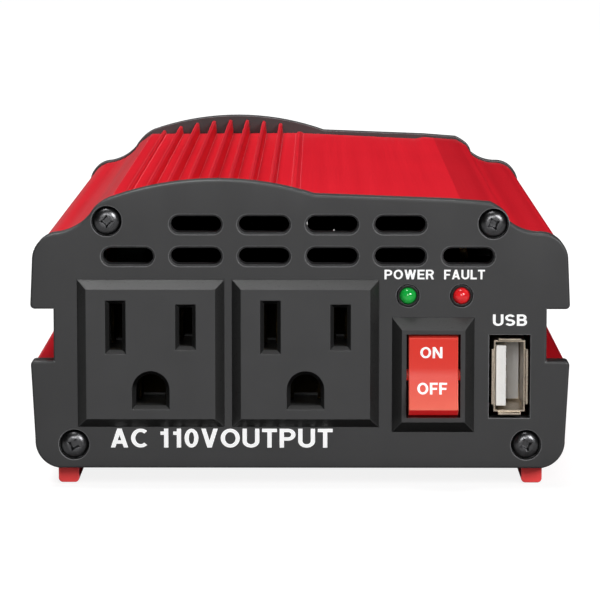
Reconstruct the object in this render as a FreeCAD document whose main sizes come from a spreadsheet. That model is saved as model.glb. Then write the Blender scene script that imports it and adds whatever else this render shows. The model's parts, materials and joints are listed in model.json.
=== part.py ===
import FreeCAD, Part
import math
import os
import Sketcher
from FreeCAD import Placement, Rotation, Vector

# A 12 V to mains power inverter in a finned aluminium housing. Millimetres, +Z up, +X to the right
# of someone facing the outlets, which look along -Y. The origin is the middle of the footprint, at
# the level the two foot rails stand on.

doc = FreeCAD.newDocument("power_inverter")
sheet = doc.addObject("Spreadsheet::Sheet", "Dims")

# ---------------------------------------------------------------------------------------------
# Sizes: every driving dimension is a cell of the sheet, and a Size carries the cell's formula.
# ---------------------------------------------------------------------------------------------


class Size:
    """A number together with the spreadsheet formula that gives it."""

    def __init__(self, number, formula=None):
        self.number = float(number)
        self.formula = formula if formula is not None else repr(round(float(number), 6))

    def _join(self, other, sign, number):
        other = as_size(other)
        return Size(number, f"({self.formula} {sign} {other.formula})")

    def __add__(self, other):
        return self._join(other, "+", self.number + as_size(other).number)

    def __sub__(self, other):
        return self._join(other, "-", self.number - as_size(other).number)

    def __mul__(self, other):
        return self._join(other, "*", self.number * as_size(other).number)

    def __truediv__(self, other):
        return self._join(other, "/", self.number / as_size(other).number)

    def root(self):
        return Size(math.sqrt(self.number), f"sqrt({self.formula})")

    def __neg__(self):
        return Size(-self.number, f"(0 - {self.formula})")

    def __radd__(self, other):
        return as_size(other) + self

    def __rsub__(self, other):
        return as_size(other) - self

    def __rmul__(self, other):
        return as_size(other) * self


def as_size(value):
    return value if isinstance(value, Size) else Size(value)


class Sizes:
    """The named sizes, each one a cell of the sheet."""

    def add(self, **cells):
        for name, number in cells.items():
            row = len(vars(self)) + 1
            sheet.set(f"A{row}", name)
            sheet.set(f"B{row}", repr(number))
            sheet.setAlias(f"B{row}", name)
            setattr(self, name, Size(number, f"Dims.{name}"))


d = Sizes()

# Housing and panels
d.add(body_length=150.0, panel_thickness=4.0, panel_edge_round=0.45, clearance=0.1)
d.add(foot_height=3.35, low_flat_x=44.2, low_corner_x=48.3, low_corner_z=8.6, low_corner_round=5.0)
d.add(lobe_half_width=49.0, waist_half_width=44.8, notch_low_z=23.1, notch_high_z=32.6, notch_round=0.8)
d.add(shoulder_x=48.6, shoulder_z=42.0, shoulder_top_x=43.8, shoulder_top_z=46.45, shoulder_round=4.9)
d.add(boss_x=35.0, foot_screw_x=41.2, foot_screw_z=7.7)
d.add(right_boss_z=48.2, right_boss_round=2.95, right_foot_round=1.0, right_cove_round=8.5)
d.add(left_boss_z=48.65, left_boss_round=3.3, left_foot_round=3.0, left_cove_round=9.5)
d.add(right_blend_round=10.8, left_blend_round=8.2)
d.add(deck_end_x=34.5, deck_end_z=51.95, ridge_x=27.3, ridge_z=52.5, ridge_foot_x=25.2, ridge_step=0.35)
d.add(hump_right_x=2.6, hump_left_x=34.2, hump_centre_x=-15.0, hump_centre_z=-1.95, hump_round=58.1)
d.add(rear_hump_lift=0.6, rear_hump_right_x=4.5)
d.add(rim_gap=0.4, deck_gap=0.6, wall=1.9, roof_z=49.7, boss_block_x=31.6, boss_floor_z=45.2)
d.add(lip_x=44.7, lip_z=5.1, plate_half_width=45.9, plate_thickness=1.8)
d.add(rail_outer_x=44.4, rail_inner_x=40.6, rail_round=0.8)
d.add(fin_base_z=52.6, fin_base_x=34.4, fin_gap=0.15, fin_first_x=-31.7, fin_pitch=3.77)
d.add(fin_foot=1.4, fin_tip=0.8)
d.add(wide_rib_x=-0.95, wide_rib_width=2.4, wide_rib_height=0.7)
d.add(screw_boss_r=2.9, screw_pilot_r=1.3, screw_shank_r=1.25, screw_shank_len=12.0, screw_hole_r=1.7)
d.add(screw_head_r=2.6, screw_head_len=2.0, screw_dome_round=1.5, recess_r=1.55)
d.add(screw_sink_r=2.78, screw_sink_len=1.5)

# Front panel fittings
d.add(vent_pitch=12.34, vent_length=9.9, vent_height=3.75, vent_row_x=31.2, vent_edge=0.35)
d.add(vent_low_z=42.25, vent_high_z=48.05)
d.add(outlet_left_x=-27.1, outlet_right_x=1.0, outlet_z=24.5, outlet_width=26.8, outlet_height=27.1)
d.add(outlet_bevel=1.7, outlet_proud=1.6, outlet_body=23.6, outlet_depth=17.0)
d.add(slot_spread=6.35, slot_z=29.45, ground_drop=11.9, neutral_height=8.5, line_height=7.1)
d.add(slot_width=2.4, slot_flare=1.5, slot_flare_len=1.0, ground_r=2.75, ground_foot=2.5, ground_rise=0.5)
d.add(leaf_thickness=0.6, blade_thickness=1.52, pin_r=2.4, contact_len=8.0, cover_thickness=1.6)
d.add(switch_x=24.2, switch_z=20.6, bezel_width=15.0, bezel_height=21.1, bezel_proud=1.9)
d.add(rim_width=11.45, rim_height=16.9, mouth_width=9.8, mouth_height=15.3)
d.add(switch_body_width=13.0, switch_body_height=19.0, switch_body_len=15.0)
d.add(rocker_width=8.9, rocker_r=7.35, rocker_pivot=0.1, rocker_middle=2.3, rocker_back=2.6)
d.add(trunnion_r=1.0, trunnion_play=0.05, trunnion_reach=1.2, plunger_r=1.1, plunger_tip=8.0)
d.add(lever_width=4.0, lever_half_height=5.2, lever_thickness=0.8, lever_pin_r=0.5)
d.add(led_power_x=19.6, led_fault_x=29.3, led_z=35.1, led_r=1.5, led_ring_r=2.0, led_proud=1.2)
d.add(usb_x=38.1, usb_z=20.3, usb_open_width=7.5, usb_open_height=15.3, usb_width=5.7)
d.add(usb_height=13.1, usb_len=14.0, usb_wall=0.3, usb_tongue=1.8, usb_tongue_height=11.1)

# Rear panel fittings
d.add(fan_x=-11.0, fan_z=27.6, fan_size=40.0, fan_depth=10.0, fan_wall=1.2, fan_hole_spread=16.0)
d.add(fan_hub_r=9.0, fan_blade_r=17.8, fan_hub_len=7.6, shaft_r=1.0, shaft_play=0.05)
d.add(post_positive_x=34.0, post_negative_x=15.0, post_z=26.0, stud_r=3.0, post_base_r=7.2)
d.add(post_base_len=3.0, cap_r=7.0, cap_len=14.0, washer_r=6.0, washer_len=1.0, stud_len=11.0)

# Electronics
d.add(board_half_width=42.0, board_front_y=-53.0, board_rear_y=58.0, board_z=11.4)
d.add(board_thickness=1.6, board_screw_x=33.0, board_screw_y=46.0)
d.add(transistor_width=10.2, transistor_pitch=13.6, pad_thickness=0.3)
d.add(core_width=32.0, core_height=28.0, core_depth=11.0, core_leg=9.0, core_yoke=5.5)

front_y = -d.body_length / 2
rear_y = d.body_length / 2
front_face_y = front_y - d.panel_thickness
rear_face_y = rear_y + d.panel_thickness
board_top = d.board_z + d.board_thickness

# The power transistors are clamped to the walls behind the side grooves.
wall_x = d.waist_half_width - d.rim_gap - d.wall
tab_x = wall_x - d.pad_thickness
bar_x = tab_x - 4.5
CLAMP_Z = 25.0
LOW_SIDE_Y = 0.0
HIGH_SIDE_Y = -36.0


def clamp_screw_steps(first_y):
    """The two places along a row of four transistors where its clamp bar is screwed down."""
    return [first_y + d.transistor_pitch * step for step in (0.5, 2.5)]


# ---------------------------------------------------------------------------------------------
# Helpers
# ---------------------------------------------------------------------------------------------

parts = {}


def bind(obj, **values):
    """Sets properties of obj, and binds each one that is a Size to its formula."""
    for name, value in values.items():
        if isinstance(value, Size):
            setattr(obj, name, value.number)
            obj.setExpression(name, value.formula)
        else:
            setattr(obj, name, value)
    return obj


def move(obj, at, rotation=Rotation()):
    """Places obj at the point, a triple of sizes, turned by the rotation."""
    sizes = [as_size(value) for value in at]
    obj.Placement = Placement(Vector(*[s.number for s in sizes]), rotation)
    for axis, size in zip("xyz", sizes):
        obj.setExpression(f"Placement.Base.{axis}", size.formula)
    return obj


ALONG_X = Rotation(Vector(0, 1, 0), 90)
ALONG_Y = Rotation(Vector(1, 0, 0), -90)
ALONG_Z = Rotation()


def box(centre, size):
    """A box about its centre."""
    obj = doc.addObject("Part::Box", "Box")
    length, width, height = [as_size(value) for value in size]
    bind(obj, Length=length, Width=width, Height=height)
    corner = [as_size(c) - s / 2 for c, s in zip(centre, (length, width, height))]
    return move(obj, corner)


def block(low, high):
    """A box from its lowest corner to its highest."""
    obj = doc.addObject("Part::Box", "Box")
    spans = [as_size(b) - as_size(a) for a, b in zip(low, high)]
    bind(obj, Length=spans[0], Width=spans[1], Height=spans[2])
    return move(obj, low)


def rod(start, length, radius, along=ALONG_Y):
    """A cylinder from the centre of its first end."""
    obj = doc.addObject("Part::Cylinder", "Cylinder")
    bind(obj, Radius=as_size(radius), Height=as_size(length))
    return move(obj, start, along)


def cone(start, length, first_radius, last_radius, along=ALONG_Y):
    obj = doc.addObject("Part::Cone", "Cone")
    bind(obj, Radius1=as_size(first_radius), Radius2=as_size(last_radius), Height=as_size(length))
    return move(obj, start, along)


def ball(centre, radius):
    obj = doc.addObject("Part::Sphere", "Sphere")
    bind(obj, Radius=as_size(radius))
    return move(obj, centre)


def ring(centre, ring_radius, wire_radius, along=ALONG_Y):
    """A torus about the given axis."""
    obj = doc.addObject("Part::Torus", "Torus")
    bind(obj, Radius1=as_size(ring_radius), Radius2=as_size(wire_radius))
    return move(obj, centre, along)


def frustum(x, z, back_y, back_size, front_y, front_size):
    """A four-sided taper about the line through (x, z), between two upright rectangles."""
    obj = doc.addObject("Part::Wedge", "Wedge")
    length = as_size(front_y) - as_size(back_y)
    back_w, back_h = [as_size(value) / 2 for value in back_size]
    front_w, front_h = [as_size(value) / 2 for value in front_size]
    bind(obj, Ymin=Size(0), Ymax=length, Xmin=-back_w, Xmax=back_w, Zmin=-back_h, Zmax=back_h)
    bind(obj, X2min=-front_w, X2max=front_w, Z2min=-front_h, Z2max=front_h)
    return move(obj, (x, back_y, z))


def fuse(*pieces):
    obj = doc.addObject("Part::MultiFuse", "Fusion")
    obj.Shapes = list(pieces)
    return obj


def cut(base, *tools):
    obj = doc.addObject("Part::Cut", "Cut")
    obj.Base = base
    obj.Tool = tools[0] if len(tools) == 1 else fuse(*tools)
    return obj


def common(first, second):
    obj = doc.addObject("Part::MultiCommon", "Common")
    obj.Shapes = [first, second]
    return obj


def group(*pieces):
    """Separate solids that share one node."""
    obj = doc.addObject("Part::Compound", "Compound")
    obj.Links = list(pieces)
    return obj


def placed(obj, at, rotation):
    """Carries something drawn about the origin to where it belongs."""
    return move(group(obj), at, rotation)


def part(name, obj):
    """Names a finished sub-part, which is then written to its own file."""
    obj.Label = name
    parts[name] = obj
    return obj


def rounded(base, radius, keep):
    """Fillets the edges of base that keep(edge) chooses."""
    doc.recompute()
    obj = doc.addObject("Part::Fillet", "Fillet")
    obj.Base = base
    chosen = [i + 1 for i, edge in enumerate(base.Shape.Edges) if keep(edge)]
    obj.Edges = [(i, as_size(radius).number, as_size(radius).number) for i in chosen]
    return obj


# Sketches stand on one of a body's three planes, at some distance along the axis square to it. On
# the XZ plane a pad grows towards -Y and a pocket cuts towards +Y; on the other two planes it is the
# positive axis for a pad and the negative one for a pocket.


def new_body(name):
    return doc.addObject("PartDesign::Body", name)


def sketch_at(body, at, plane="XZ_Plane"):
    origin_plane = [f for f in body.Origin.OriginFeatures if f.Role == plane][0]
    sketch = body.newObject("Sketcher::SketchObject", "Sketch")
    sketch.AttachmentSupport = (origin_plane, [""])
    sketch.MapMode = "FlatFace"
    offset = -as_size(at) if plane == "XZ_Plane" else as_size(at)
    sketch.AttachmentOffset = Placement(Vector(0, 0, offset.number), Rotation())
    sketch.setExpression("AttachmentOffset.Base.z", offset.formula)
    return sketch


def fix(sketch, kind, where, size):
    """Adds a dimension to the sketch and binds it to the size's formula."""
    index = sketch.addConstraint(Sketcher.Constraint(kind, *where, as_size(size).number))
    sketch.setExpression(f"Constraints[{index}]", as_size(size).formula)


def fix_point(sketch, geometry, position, x, z):
    fix(sketch, "DistanceX", (-1, 1, geometry, position), x)
    fix(sketch, "DistanceY", (-1, 1, geometry, position), z)


def outline(sketch, path):
    """Draws a closed outline. Each entry of path is a corner (x, z), reached by a straight line, or
    (x, z, radius), reached by an arc that turns left, or right if the radius is negative."""
    corners = [(as_size(p[0]), as_size(p[1])) for p in path]
    vectors = [Vector(x.number, z.number, 0) for x, z in corners]
    ends = []
    for i, entry in enumerate(path):
        start, end = vectors[i - 1], vectors[i]
        if len(entry) == 2:
            ends.append((sketch.addGeometry(Part.LineSegment(start, end), False), 1, 2))
            continue
        radius = as_size(entry[2])
        size, left = abs(radius.number), radius.number > 0
        middle, chord = (start + end) / 2, end - start
        across = Vector(-chord.y, chord.x, 0).normalize() * (1 if left else -1)
        centre = middle + across * math.sqrt(max(size**2 - chord.Length**2 / 4, 0.0))
        first, last = (start, end) if left else (end, start)
        angles = [math.atan2(p.y - centre.y, p.x - centre.x) for p in (first, last)]
        arc = Part.ArcOfCircle(Part.Circle(centre, Vector(0, 0, 1), size), *angles)
        index = sketch.addGeometry(arc, False)
        ends.append((index, 1, 2) if left else (index, 2, 1))
        fix(sketch, "Radius", (index,), radius if left else -radius)
    for i, (x, z) in enumerate(corners):
        index, _, last = ends[i]
        following, first, _ = ends[(i + 1) % len(ends)]
        sketch.addConstraint(Sketcher.Constraint("Coincident", index, last, following, first))
        fix_point(sketch, index, last, x, z)


def rectangle(sketch, x, z, width, height):
    left, right = x - as_size(width) / 2, x + as_size(width) / 2
    low, high = z - as_size(height) / 2, z + as_size(height) / 2
    outline(sketch, [(left, low), (right, low), (right, high), (left, high)])


def circle(sketch, x, z, radius):
    x, z, radius = as_size(x), as_size(z), as_size(radius)
    shape = Part.Circle(Vector(x.number, z.number, 0), Vector(0, 0, 1), radius.number)
    index = sketch.addGeometry(shape, False)
    fix(sketch, "Radius", (index,), radius)
    fix_point(sketch, index, 3, x, z)


def stadium(sketch, x, z, length, height):
    """A slot with round ends, level."""
    x, z, r = as_size(x), as_size(z), as_size(height) / 2
    half = as_size(length) / 2 - r
    centres = [Vector((x + half * s).number, z.number, 0) for s in (1, -1)]
    quarter = math.pi / 2
    up = Vector(0, r.number, 0)
    right_arc = Part.ArcOfCircle(Part.Circle(centres[0], Vector(0, 0, 1), r.number), -quarter, quarter)
    left_arc = Part.ArcOfCircle(Part.Circle(centres[1], Vector(0, 0, 1), r.number), quarter, 3 * quarter)
    right = sketch.addGeometry(right_arc, False)
    top = sketch.addGeometry(Part.LineSegment(centres[0] + up, centres[1] + up), False)
    left = sketch.addGeometry(left_arc, False)
    low = sketch.addGeometry(Part.LineSegment(centres[1] - up, centres[0] - up), False)
    for a, b in ((right, top), (top, left), (left, low), (low, right)):
        sketch.addConstraint(Sketcher.Constraint("Tangent", a, 2, b, 1))
    for index, side in ((right, 1), (left, -1)):
        fix_point(sketch, index, 3, x + half * side, z)
    fix(sketch, "Radius", (right,), r)
    fix(sketch, "Radius", (left,), r)


def pad(body, sketch, length):
    feature = body.newObject("PartDesign::Pad", "Pad")
    feature.Profile = sketch
    return bind(feature, Length=as_size(length))


def pocket(body, sketch, length):
    feature = body.newObject("PartDesign::Pocket", "Pocket")
    feature.Profile = sketch
    return bind(feature, Length=as_size(length))


def soften(body, feature, radius, keep):
    """Fillets the edges of the body's last feature that keep(edge) chooses."""
    doc.recompute()
    chosen = [f"Edge{i + 1}" for i, edge in enumerate(feature.Shape.Edges) if keep(edge)]
    fillet = body.newObject("PartDesign::Fillet", "Fillet")
    fillet.Base = (feature, chosen)
    return bind(fillet, Radius=as_size(radius))


def lies_at_y(edge, y):
    bound = edge.BoundBox
    return abs(bound.YMin - as_size(y).number) < 0.01 and abs(bound.YMax - as_size(y).number) < 0.01


# How far each screw in turn happens to be turned.
SCREW_TURNS = (45, 68, 25, 66)
BOSS_PLACES = [(-d.boss_x, d.left_boss_z), (d.boss_x, d.right_boss_z)]
SCREW_PLACES = BOSS_PLACES + [
    (-d.foot_screw_x, d.foot_screw_z),
    (d.foot_screw_x, d.foot_screw_z),
]

# ---------------------------------------------------------------------------------------------
# Housing, base plate and panels
# ---------------------------------------------------------------------------------------------


def mirrored(path, *arrival):
    """The same outline on the other side, travelled the opposite way. arrival is the radius of the
    arc that reaches its first corner, where that isn't a straight line."""
    back = []
    for i in range(len(path) - 1, -1, -1):
        radius = path[i + 1][2:] if i + 1 < len(path) else arrival
        back.append((-path[i][0], path[i][1], *radius))
    return back


def on_circle(x, z, radius, degrees):
    """The point of a circle at an angle up from +X."""
    angle = math.radians(degrees)
    return x + radius * math.cos(angle), z + radius * math.sin(angle)


# The screw boss at each top corner, drawn on the right: it is round between two angles up from +X,
# and a small arc at its foot turns into the cove below.
RIGHT_BOSS = dict(
    boss_z=d.right_boss_z, boss_round=d.right_boss_round, boss_start=12, boss_end=50,
    foot_round=d.right_foot_round, foot_turn=40, cove_round=d.right_cove_round,
)
LEFT_BOSS = dict(
    boss_z=d.left_boss_z, boss_round=d.left_boss_round, boss_start=27, boss_end=45,
    foot_round=d.left_foot_round, foot_turn=16, cove_round=d.left_cove_round,
)


def side_outline(inset, boss_z, boss_round, boss_start, boss_end, foot_round, foot_turn, cove_round):
    """The right-hand side from the foot up to the top of the screw boss, moved inwards by inset."""
    side = d.lobe_half_width - inset
    low, high = d.notch_low_z - inset, d.notch_high_z + inset
    boss, foot = boss_round - inset, foot_round + inset
    foot_centre = on_circle(d.boss_x, boss_z, boss + foot, boss_start)
    return [
        (d.low_flat_x, d.foot_height + inset),
        (d.low_corner_x - inset, d.low_corner_z, d.low_corner_round),
        (side, low - d.notch_round),
        (side - d.notch_round, low, d.notch_round),
        (d.waist_half_width - inset, low),
        (d.waist_half_width - inset, high),
        (side - d.notch_round, high),
        (side, high + d.notch_round, d.notch_round),
        (d.shoulder_x - inset, d.shoulder_z),
        (d.shoulder_top_x, d.shoulder_top_z - inset, d.shoulder_round),
        (*on_circle(*foot_centre, foot, boss_start + 180 + foot_turn), -cove_round),
        (*on_circle(*foot_centre, foot, boss_start + 180), -foot),
        (*on_circle(d.boss_x, boss_z, boss, boss_end), boss),
    ]


def hump_z(x, inset=0.0):
    """Height of the arch over the fins, moved down by inset."""
    radius = d.hump_round - inset
    reach = as_size(x) - d.hump_centre_x
    return d.hump_centre_z + (radius * radius - reach * reach).root()


def panel_outline(hump_right_x, hump_lift):
    """A facet over the right boss, the flat deck, and the arch over the fins, which starts at
    hump_right_x and is raised by hump_lift."""
    left = -d.hump_left_x
    top = [
        (d.deck_end_x, d.deck_end_z, d.right_blend_round),
        (d.ridge_x, d.ridge_z),
        (hump_right_x, hump_z(hump_right_x) + hump_lift),
        (left, hump_z(left) + hump_lift, d.hump_round),
    ]
    right_side, left_side = [side_outline(as_size(0), **boss) for boss in (RIGHT_BOSS, LEFT_BOSS)]
    return right_side + top + mirrored(left_side, d.left_blend_round)


deck_start_z = hump_z(d.hump_right_x) - d.deck_gap


def housing_outline():
    """As the panels but just inside them, with a low ridge on the deck and a floor for the fins."""
    ridge_z = d.ridge_z - d.deck_gap
    top = [
        (d.deck_end_x, d.deck_end_z - d.deck_gap),
        (d.ridge_x, ridge_z),
        (d.ridge_foot_x, ridge_z - d.ridge_step),
        (d.wide_rib_x, deck_start_z),
        (-d.fin_base_x, d.fin_base_z),
    ]
    right_side, left_side = [side_outline(d.rim_gap, **boss) for boss in (RIGHT_BOSS, LEFT_BOSS)]
    return right_side + top + mirrored(left_side)


def cavity_outline():
    """The hollow inside, open between the two bottom lips."""
    lobe = d.lobe_half_width - d.rim_gap - d.wall
    waist = d.waist_half_width - d.rim_gap - d.wall
    floor = d.notch_low_z - d.rim_gap - d.wall
    ceiling = d.notch_high_z + d.rim_gap + d.wall
    right = [
        (d.lip_x, d.foot_height - 1.0),
        (d.lip_x, d.lip_z),
        (d.plate_half_width + 0.1, d.lip_z),
        (lobe - 0.4, floor),
        (waist, floor),
        (waist, ceiling),
        (lobe - 0.3, ceiling),
        (d.shoulder_x - d.rim_gap - d.wall, d.shoulder_z),
        (d.shoulder_top_x, d.boss_floor_z - 1.2),
        (d.boss_x + d.left_boss_round, d.boss_floor_z),
        (d.boss_block_x, d.boss_floor_z),
        (d.boss_block_x, d.roof_z),
    ]
    return right + mirrored(right)


def fin_outline(x, width, tip_width, tip_z):
    """One fin, rounded at its tip and rooted in the roof."""
    r = tip_width / 2
    root = d.fin_base_z - 0.5
    return [
        (x + width / 2, root),
        (x + r, tip_z - r),
        (x - r, tip_z - r, r * 1.1),
        (x - width / 2, root),
    ]


def housing():
    body = new_body("housing_shell")
    sketch = sketch_at(body, rear_y)
    outline(sketch, housing_outline())
    pad(body, sketch, d.body_length)
    hollow = sketch_at(body, front_y)
    outline(hollow, cavity_outline())
    pocket(body, hollow, d.body_length)
    fins = sketch_at(body, rear_y)
    for i in range(8):
        x = d.fin_first_x + d.fin_pitch * i
        outline(fins, fin_outline(x, d.fin_foot, d.fin_tip, hump_z(x, d.fin_gap)))
    rib_top = deck_start_z + d.wide_rib_height
    outline(fins, fin_outline(d.wide_rib_x, d.wide_rib_width, d.wide_rib_width - 0.2, rib_top))
    pad(body, fins, d.body_length)
    bores = sketch_at(body, front_y)
    for x, z in BOSS_PLACES:
        circle(bores, x, z, d.screw_pilot_r)
    pocket(body, bores, d.body_length)
    threads = sketch_at(body, wall_x - 0.5, "YZ_Plane")
    for y in clamp_screw_steps(LOW_SIDE_Y):
        circle(threads, y, CLAMP_Z, 1.3)
    right_threads = pocket(body, threads, 2.0)
    right_threads.Reversed = True
    threads = sketch_at(body, 0.5 - wall_x, "YZ_Plane")
    for y in clamp_screw_steps(HIGH_SIDE_Y):
        circle(threads, y, CLAMP_Z, 1.3)
    pocket(body, threads, 2.0)
    return part("housing_shell", body)


plate_z = d.lip_z + d.clearance
plate_top = plate_z + d.plate_thickness


def base_plate():
    """The bottom of the housing, with the two foot rails and the lower screw bosses."""
    body = new_body("base_plate")
    plate = sketch_at(body, rear_y)
    rectangle(plate, 0.0, plate_z + d.plate_thickness / 2, d.plate_half_width * 2, d.plate_thickness)
    pad(body, plate, d.body_length)
    rails = sketch_at(body, rear_y)
    r = d.rail_round
    right_rail = [
        (d.rail_outer_x, r, r),
        (d.rail_outer_x, plate_z + 0.5),
        (d.rail_inner_x, plate_z + 0.5),
        (d.rail_inner_x, r),
        (d.rail_inner_x + r, 0.0, r),
        (d.rail_outer_x - r, 0.0),
    ]
    outline(rails, right_rail)
    outline(rails, mirrored(right_rail[1:] + right_rail[:1]))
    pad(body, rails, d.body_length)
    bosses = sketch_at(body, rear_y)
    for side in (-1, 1):
        circle(bosses, d.foot_screw_x * side, d.foot_screw_z, d.screw_boss_r)
    pad(body, bosses, d.body_length)
    bores = sketch_at(body, front_y)
    for side in (-1, 1):
        circle(bores, d.foot_screw_x * side, d.foot_screw_z, d.screw_pilot_r)
    pocket(body, bores, d.body_length)
    holes = sketch_at(body, plate_top, "XY_Plane")
    for x, y in board_corners():
        circle(holes, x, y, 1.6)
    pocket(body, holes, d.plate_thickness)
    return part("base_plate", body)


def board_corners():
    """Where the board is screwed down."""
    middle = (d.board_front_y + d.board_rear_y) / 2
    return [(d.board_screw_x * a, middle + d.board_screw_y * b) for a in (-1, 1) for b in (-1, 1)]


def panel_body(name, back_y, hump_right_x, hump_lift):
    """A panel blank, from back_y towards -Y."""
    body = new_body(name)
    sketch = sketch_at(body, back_y)
    outline(sketch, panel_outline(hump_right_x, hump_lift))
    return body, pad(body, sketch, d.panel_thickness)


def panel_screw_holes(body, start, sink_start):
    """Clearance holes through the panel, and the wider sinks the screw heads sit in. Each pocket
    runs from its start towards +Y."""
    holes = sketch_at(body, start)
    sinks = sketch_at(body, sink_start)
    for x, z in SCREW_PLACES:
        circle(holes, x, z, d.screw_hole_r)
        circle(sinks, x, z, d.screw_sink_r)
    pocket(body, holes, d.panel_thickness)
    pocket(body, sinks, d.screw_sink_len)


def front_panel():
    body, blank = panel_body("front_panel", front_y, d.hump_right_x, as_size(0))
    soften(body, blank, d.panel_edge_round, lambda edge: lies_at_y(edge, front_face_y))
    panel_screw_holes(body, front_face_y, front_face_y)
    slots = sketch_at(body, front_face_y)
    for row_z, skipped, count in ((d.vent_low_z, 0, 6), (d.vent_high_z, 1, 4)):
        for i in range(count):
            x = -d.vent_row_x + d.vent_pitch * (i + skipped)
            stadium(slots, x, row_z, d.vent_length - d.vent_edge * 2, d.vent_height - d.vent_edge * 2)
    vents = pocket(body, slots, d.panel_thickness)
    doc.recompute()
    rims = [f"Edge{i + 1}" for i, edge in enumerate(vents.Shape.Edges) if is_vent_rim(edge)]
    chamfer = body.newObject("PartDesign::Chamfer", "Chamfer")
    chamfer.Base = (vents, rims)
    bind(chamfer, Size=d.vent_edge)
    openings = sketch_at(body, front_face_y)
    opening = d.outlet_body + d.clearance * 2
    for x in (d.outlet_left_x, d.outlet_right_x):
        rectangle(openings, x, d.outlet_z, opening, opening)
    switch_width = d.switch_body_width + d.clearance * 2
    switch_height = d.switch_body_height + d.clearance * 2
    rectangle(openings, d.switch_x, d.switch_z, switch_width, switch_height)
    rectangle(openings, d.usb_x, d.usb_z, d.usb_open_width, d.usb_open_height)
    for x in (d.led_power_x, d.led_fault_x):
        circle(openings, x, d.led_z, d.led_ring_r + d.clearance)
    pocket(body, openings, d.panel_thickness)
    return part("front_panel", body)


def is_vent_rim(edge):
    """Whether an edge runs round the mouth of a vent slot, on the front face."""
    middle = edge.BoundBox.Center
    low, high = (d.vent_low_z - d.vent_height).number, (d.vent_high_z + d.vent_height / 2).number
    upper = middle.z > (d.vent_low_z + d.vent_height).number
    reach = d.vent_row_x - d.vent_pitch if upper else d.vent_row_x
    inside = abs(middle.x) < (reach + d.vent_length / 2).number
    return lies_at_y(edge, front_face_y) and inside and low < middle.z < high


def fan_corners():
    """Where the fan is screwed to the rear panel."""
    spread = d.fan_hole_spread
    return [(d.fan_x + spread * a, d.fan_z + spread * b) for a in (-1, 1) for b in (-1, 1)]


def rear_panel():
    body, blank = panel_body("rear_panel", rear_face_y, d.rear_hump_right_x, d.rear_hump_lift)
    soften(body, blank, d.panel_edge_round, lambda edge: lies_at_y(edge, rear_face_y))
    panel_screw_holes(body, rear_y, rear_face_y - d.screw_sink_len)
    mouth = sketch_at(body, rear_y)
    circle(mouth, d.fan_x, d.fan_z, d.fan_blade_r + 0.8)
    for x, z in fan_corners():
        circle(mouth, x, z, d.screw_hole_r)
    for x in (d.post_positive_x, d.post_negative_x):
        circle(mouth, x, d.post_z, d.stud_r + 1.6)
    pocket(body, mouth, d.panel_thickness)
    grille_thickness = d.panel_thickness - 1.6
    across = d.fan_blade_r * 2 + 2.4
    for size in ((across, 1.8), (1.8, across)):
        spokes = sketch_at(body, rear_face_y)
        rectangle(spokes, d.fan_x, d.fan_z, *size)
        pad(body, spokes, grille_thickness)
    rings = sketch_at(body, rear_face_y)
    for radius in (15.4, 13.8, 11.4, 9.8, 7.0):
        circle(rings, d.fan_x, d.fan_z, radius)
    pad(body, rings, grille_thickness)
    return part("rear_panel", body)


def star_recess():
    """A four-pointed recess about the Y axis, narrowing as it goes in from the top of a head."""
    top, depth = d.screw_head_len, d.screw_head_len * 0.75
    wide, narrow = d.recess_r * math.sqrt(2), d.recess_r * 0.7
    taper = frustum(0.0, 0.0, top - depth, (narrow, narrow), top + 0.01, (wide, wide))
    side_r = d.recess_r * 1.25
    sides = []
    for angle in (0, 90, 180, 270):
        x, z = on_circle(0.0, 0.0, d.recess_r * 0.45 + side_r, angle)
        sides.append(rod((x, top - depth - 0.5, z), depth + 1.0, side_r))
    return cut(taper, *sides)


def pan_screw():
    """A screw along +Y, with a domed head whose underside is at the origin."""
    head = rod((0.0, 0.0, 0.0), d.screw_head_len, d.screw_head_r)
    shank = rod((0.0, -d.screw_shank_len, 0.0), d.screw_shank_len + 0.1, d.screw_shank_r)
    whole = fuse(head, shank)
    domed = rounded(whole, d.screw_dome_round, lambda edge: lies_at_y(edge, d.screw_head_len))
    return cut(domed, star_recess())


def panel_screws():
    """Twelve alike: four hold each panel, and four hold the fan with their heads standing proud."""
    screw = pan_screw()
    rear_seat = rear_face_y - d.screw_sink_len
    seats = [(x, front_face_y + d.screw_sink_len, z, 180) for x, z in SCREW_PLACES]
    seats += [(x, rear_seat, z, 0) for x, z in SCREW_PLACES]
    seats += [(x, rear_face_y, z, 0) for x, z in fan_corners()]
    screws = []
    for i, (x, y, z, facing) in enumerate(seats):
        roll = Rotation(Vector(0, 1, 0), SCREW_TURNS[i % len(SCREW_TURNS)])
        screws.append(placed(screw, (x, y, z), Rotation(Vector(0, 0, 1), facing).multiply(roll)))
    return part("panel_screws", group(*screws))


housing()
base_plate()
front_panel()
rear_panel()
panel_screws()

# ---------------------------------------------------------------------------------------------
# Outlets
# ---------------------------------------------------------------------------------------------

# A wedge gets its wider end towards -Y, so a slot that flares outwards is cut by one.


def slot_cutter(x, z, height):
    """A blade slot with a flared mouth, through the outlet's face."""
    face = front_face_y - d.outlet_proud
    flared = frustum(
        x, z, face - 0.1, (d.slot_width + d.slot_flare, height + d.slot_flare),
        face + d.slot_flare_len, (d.slot_width, height),
    )
    return fuse(flared, box((x, face + 2.0, z), (d.slot_width, 6.0, height)))


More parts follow.
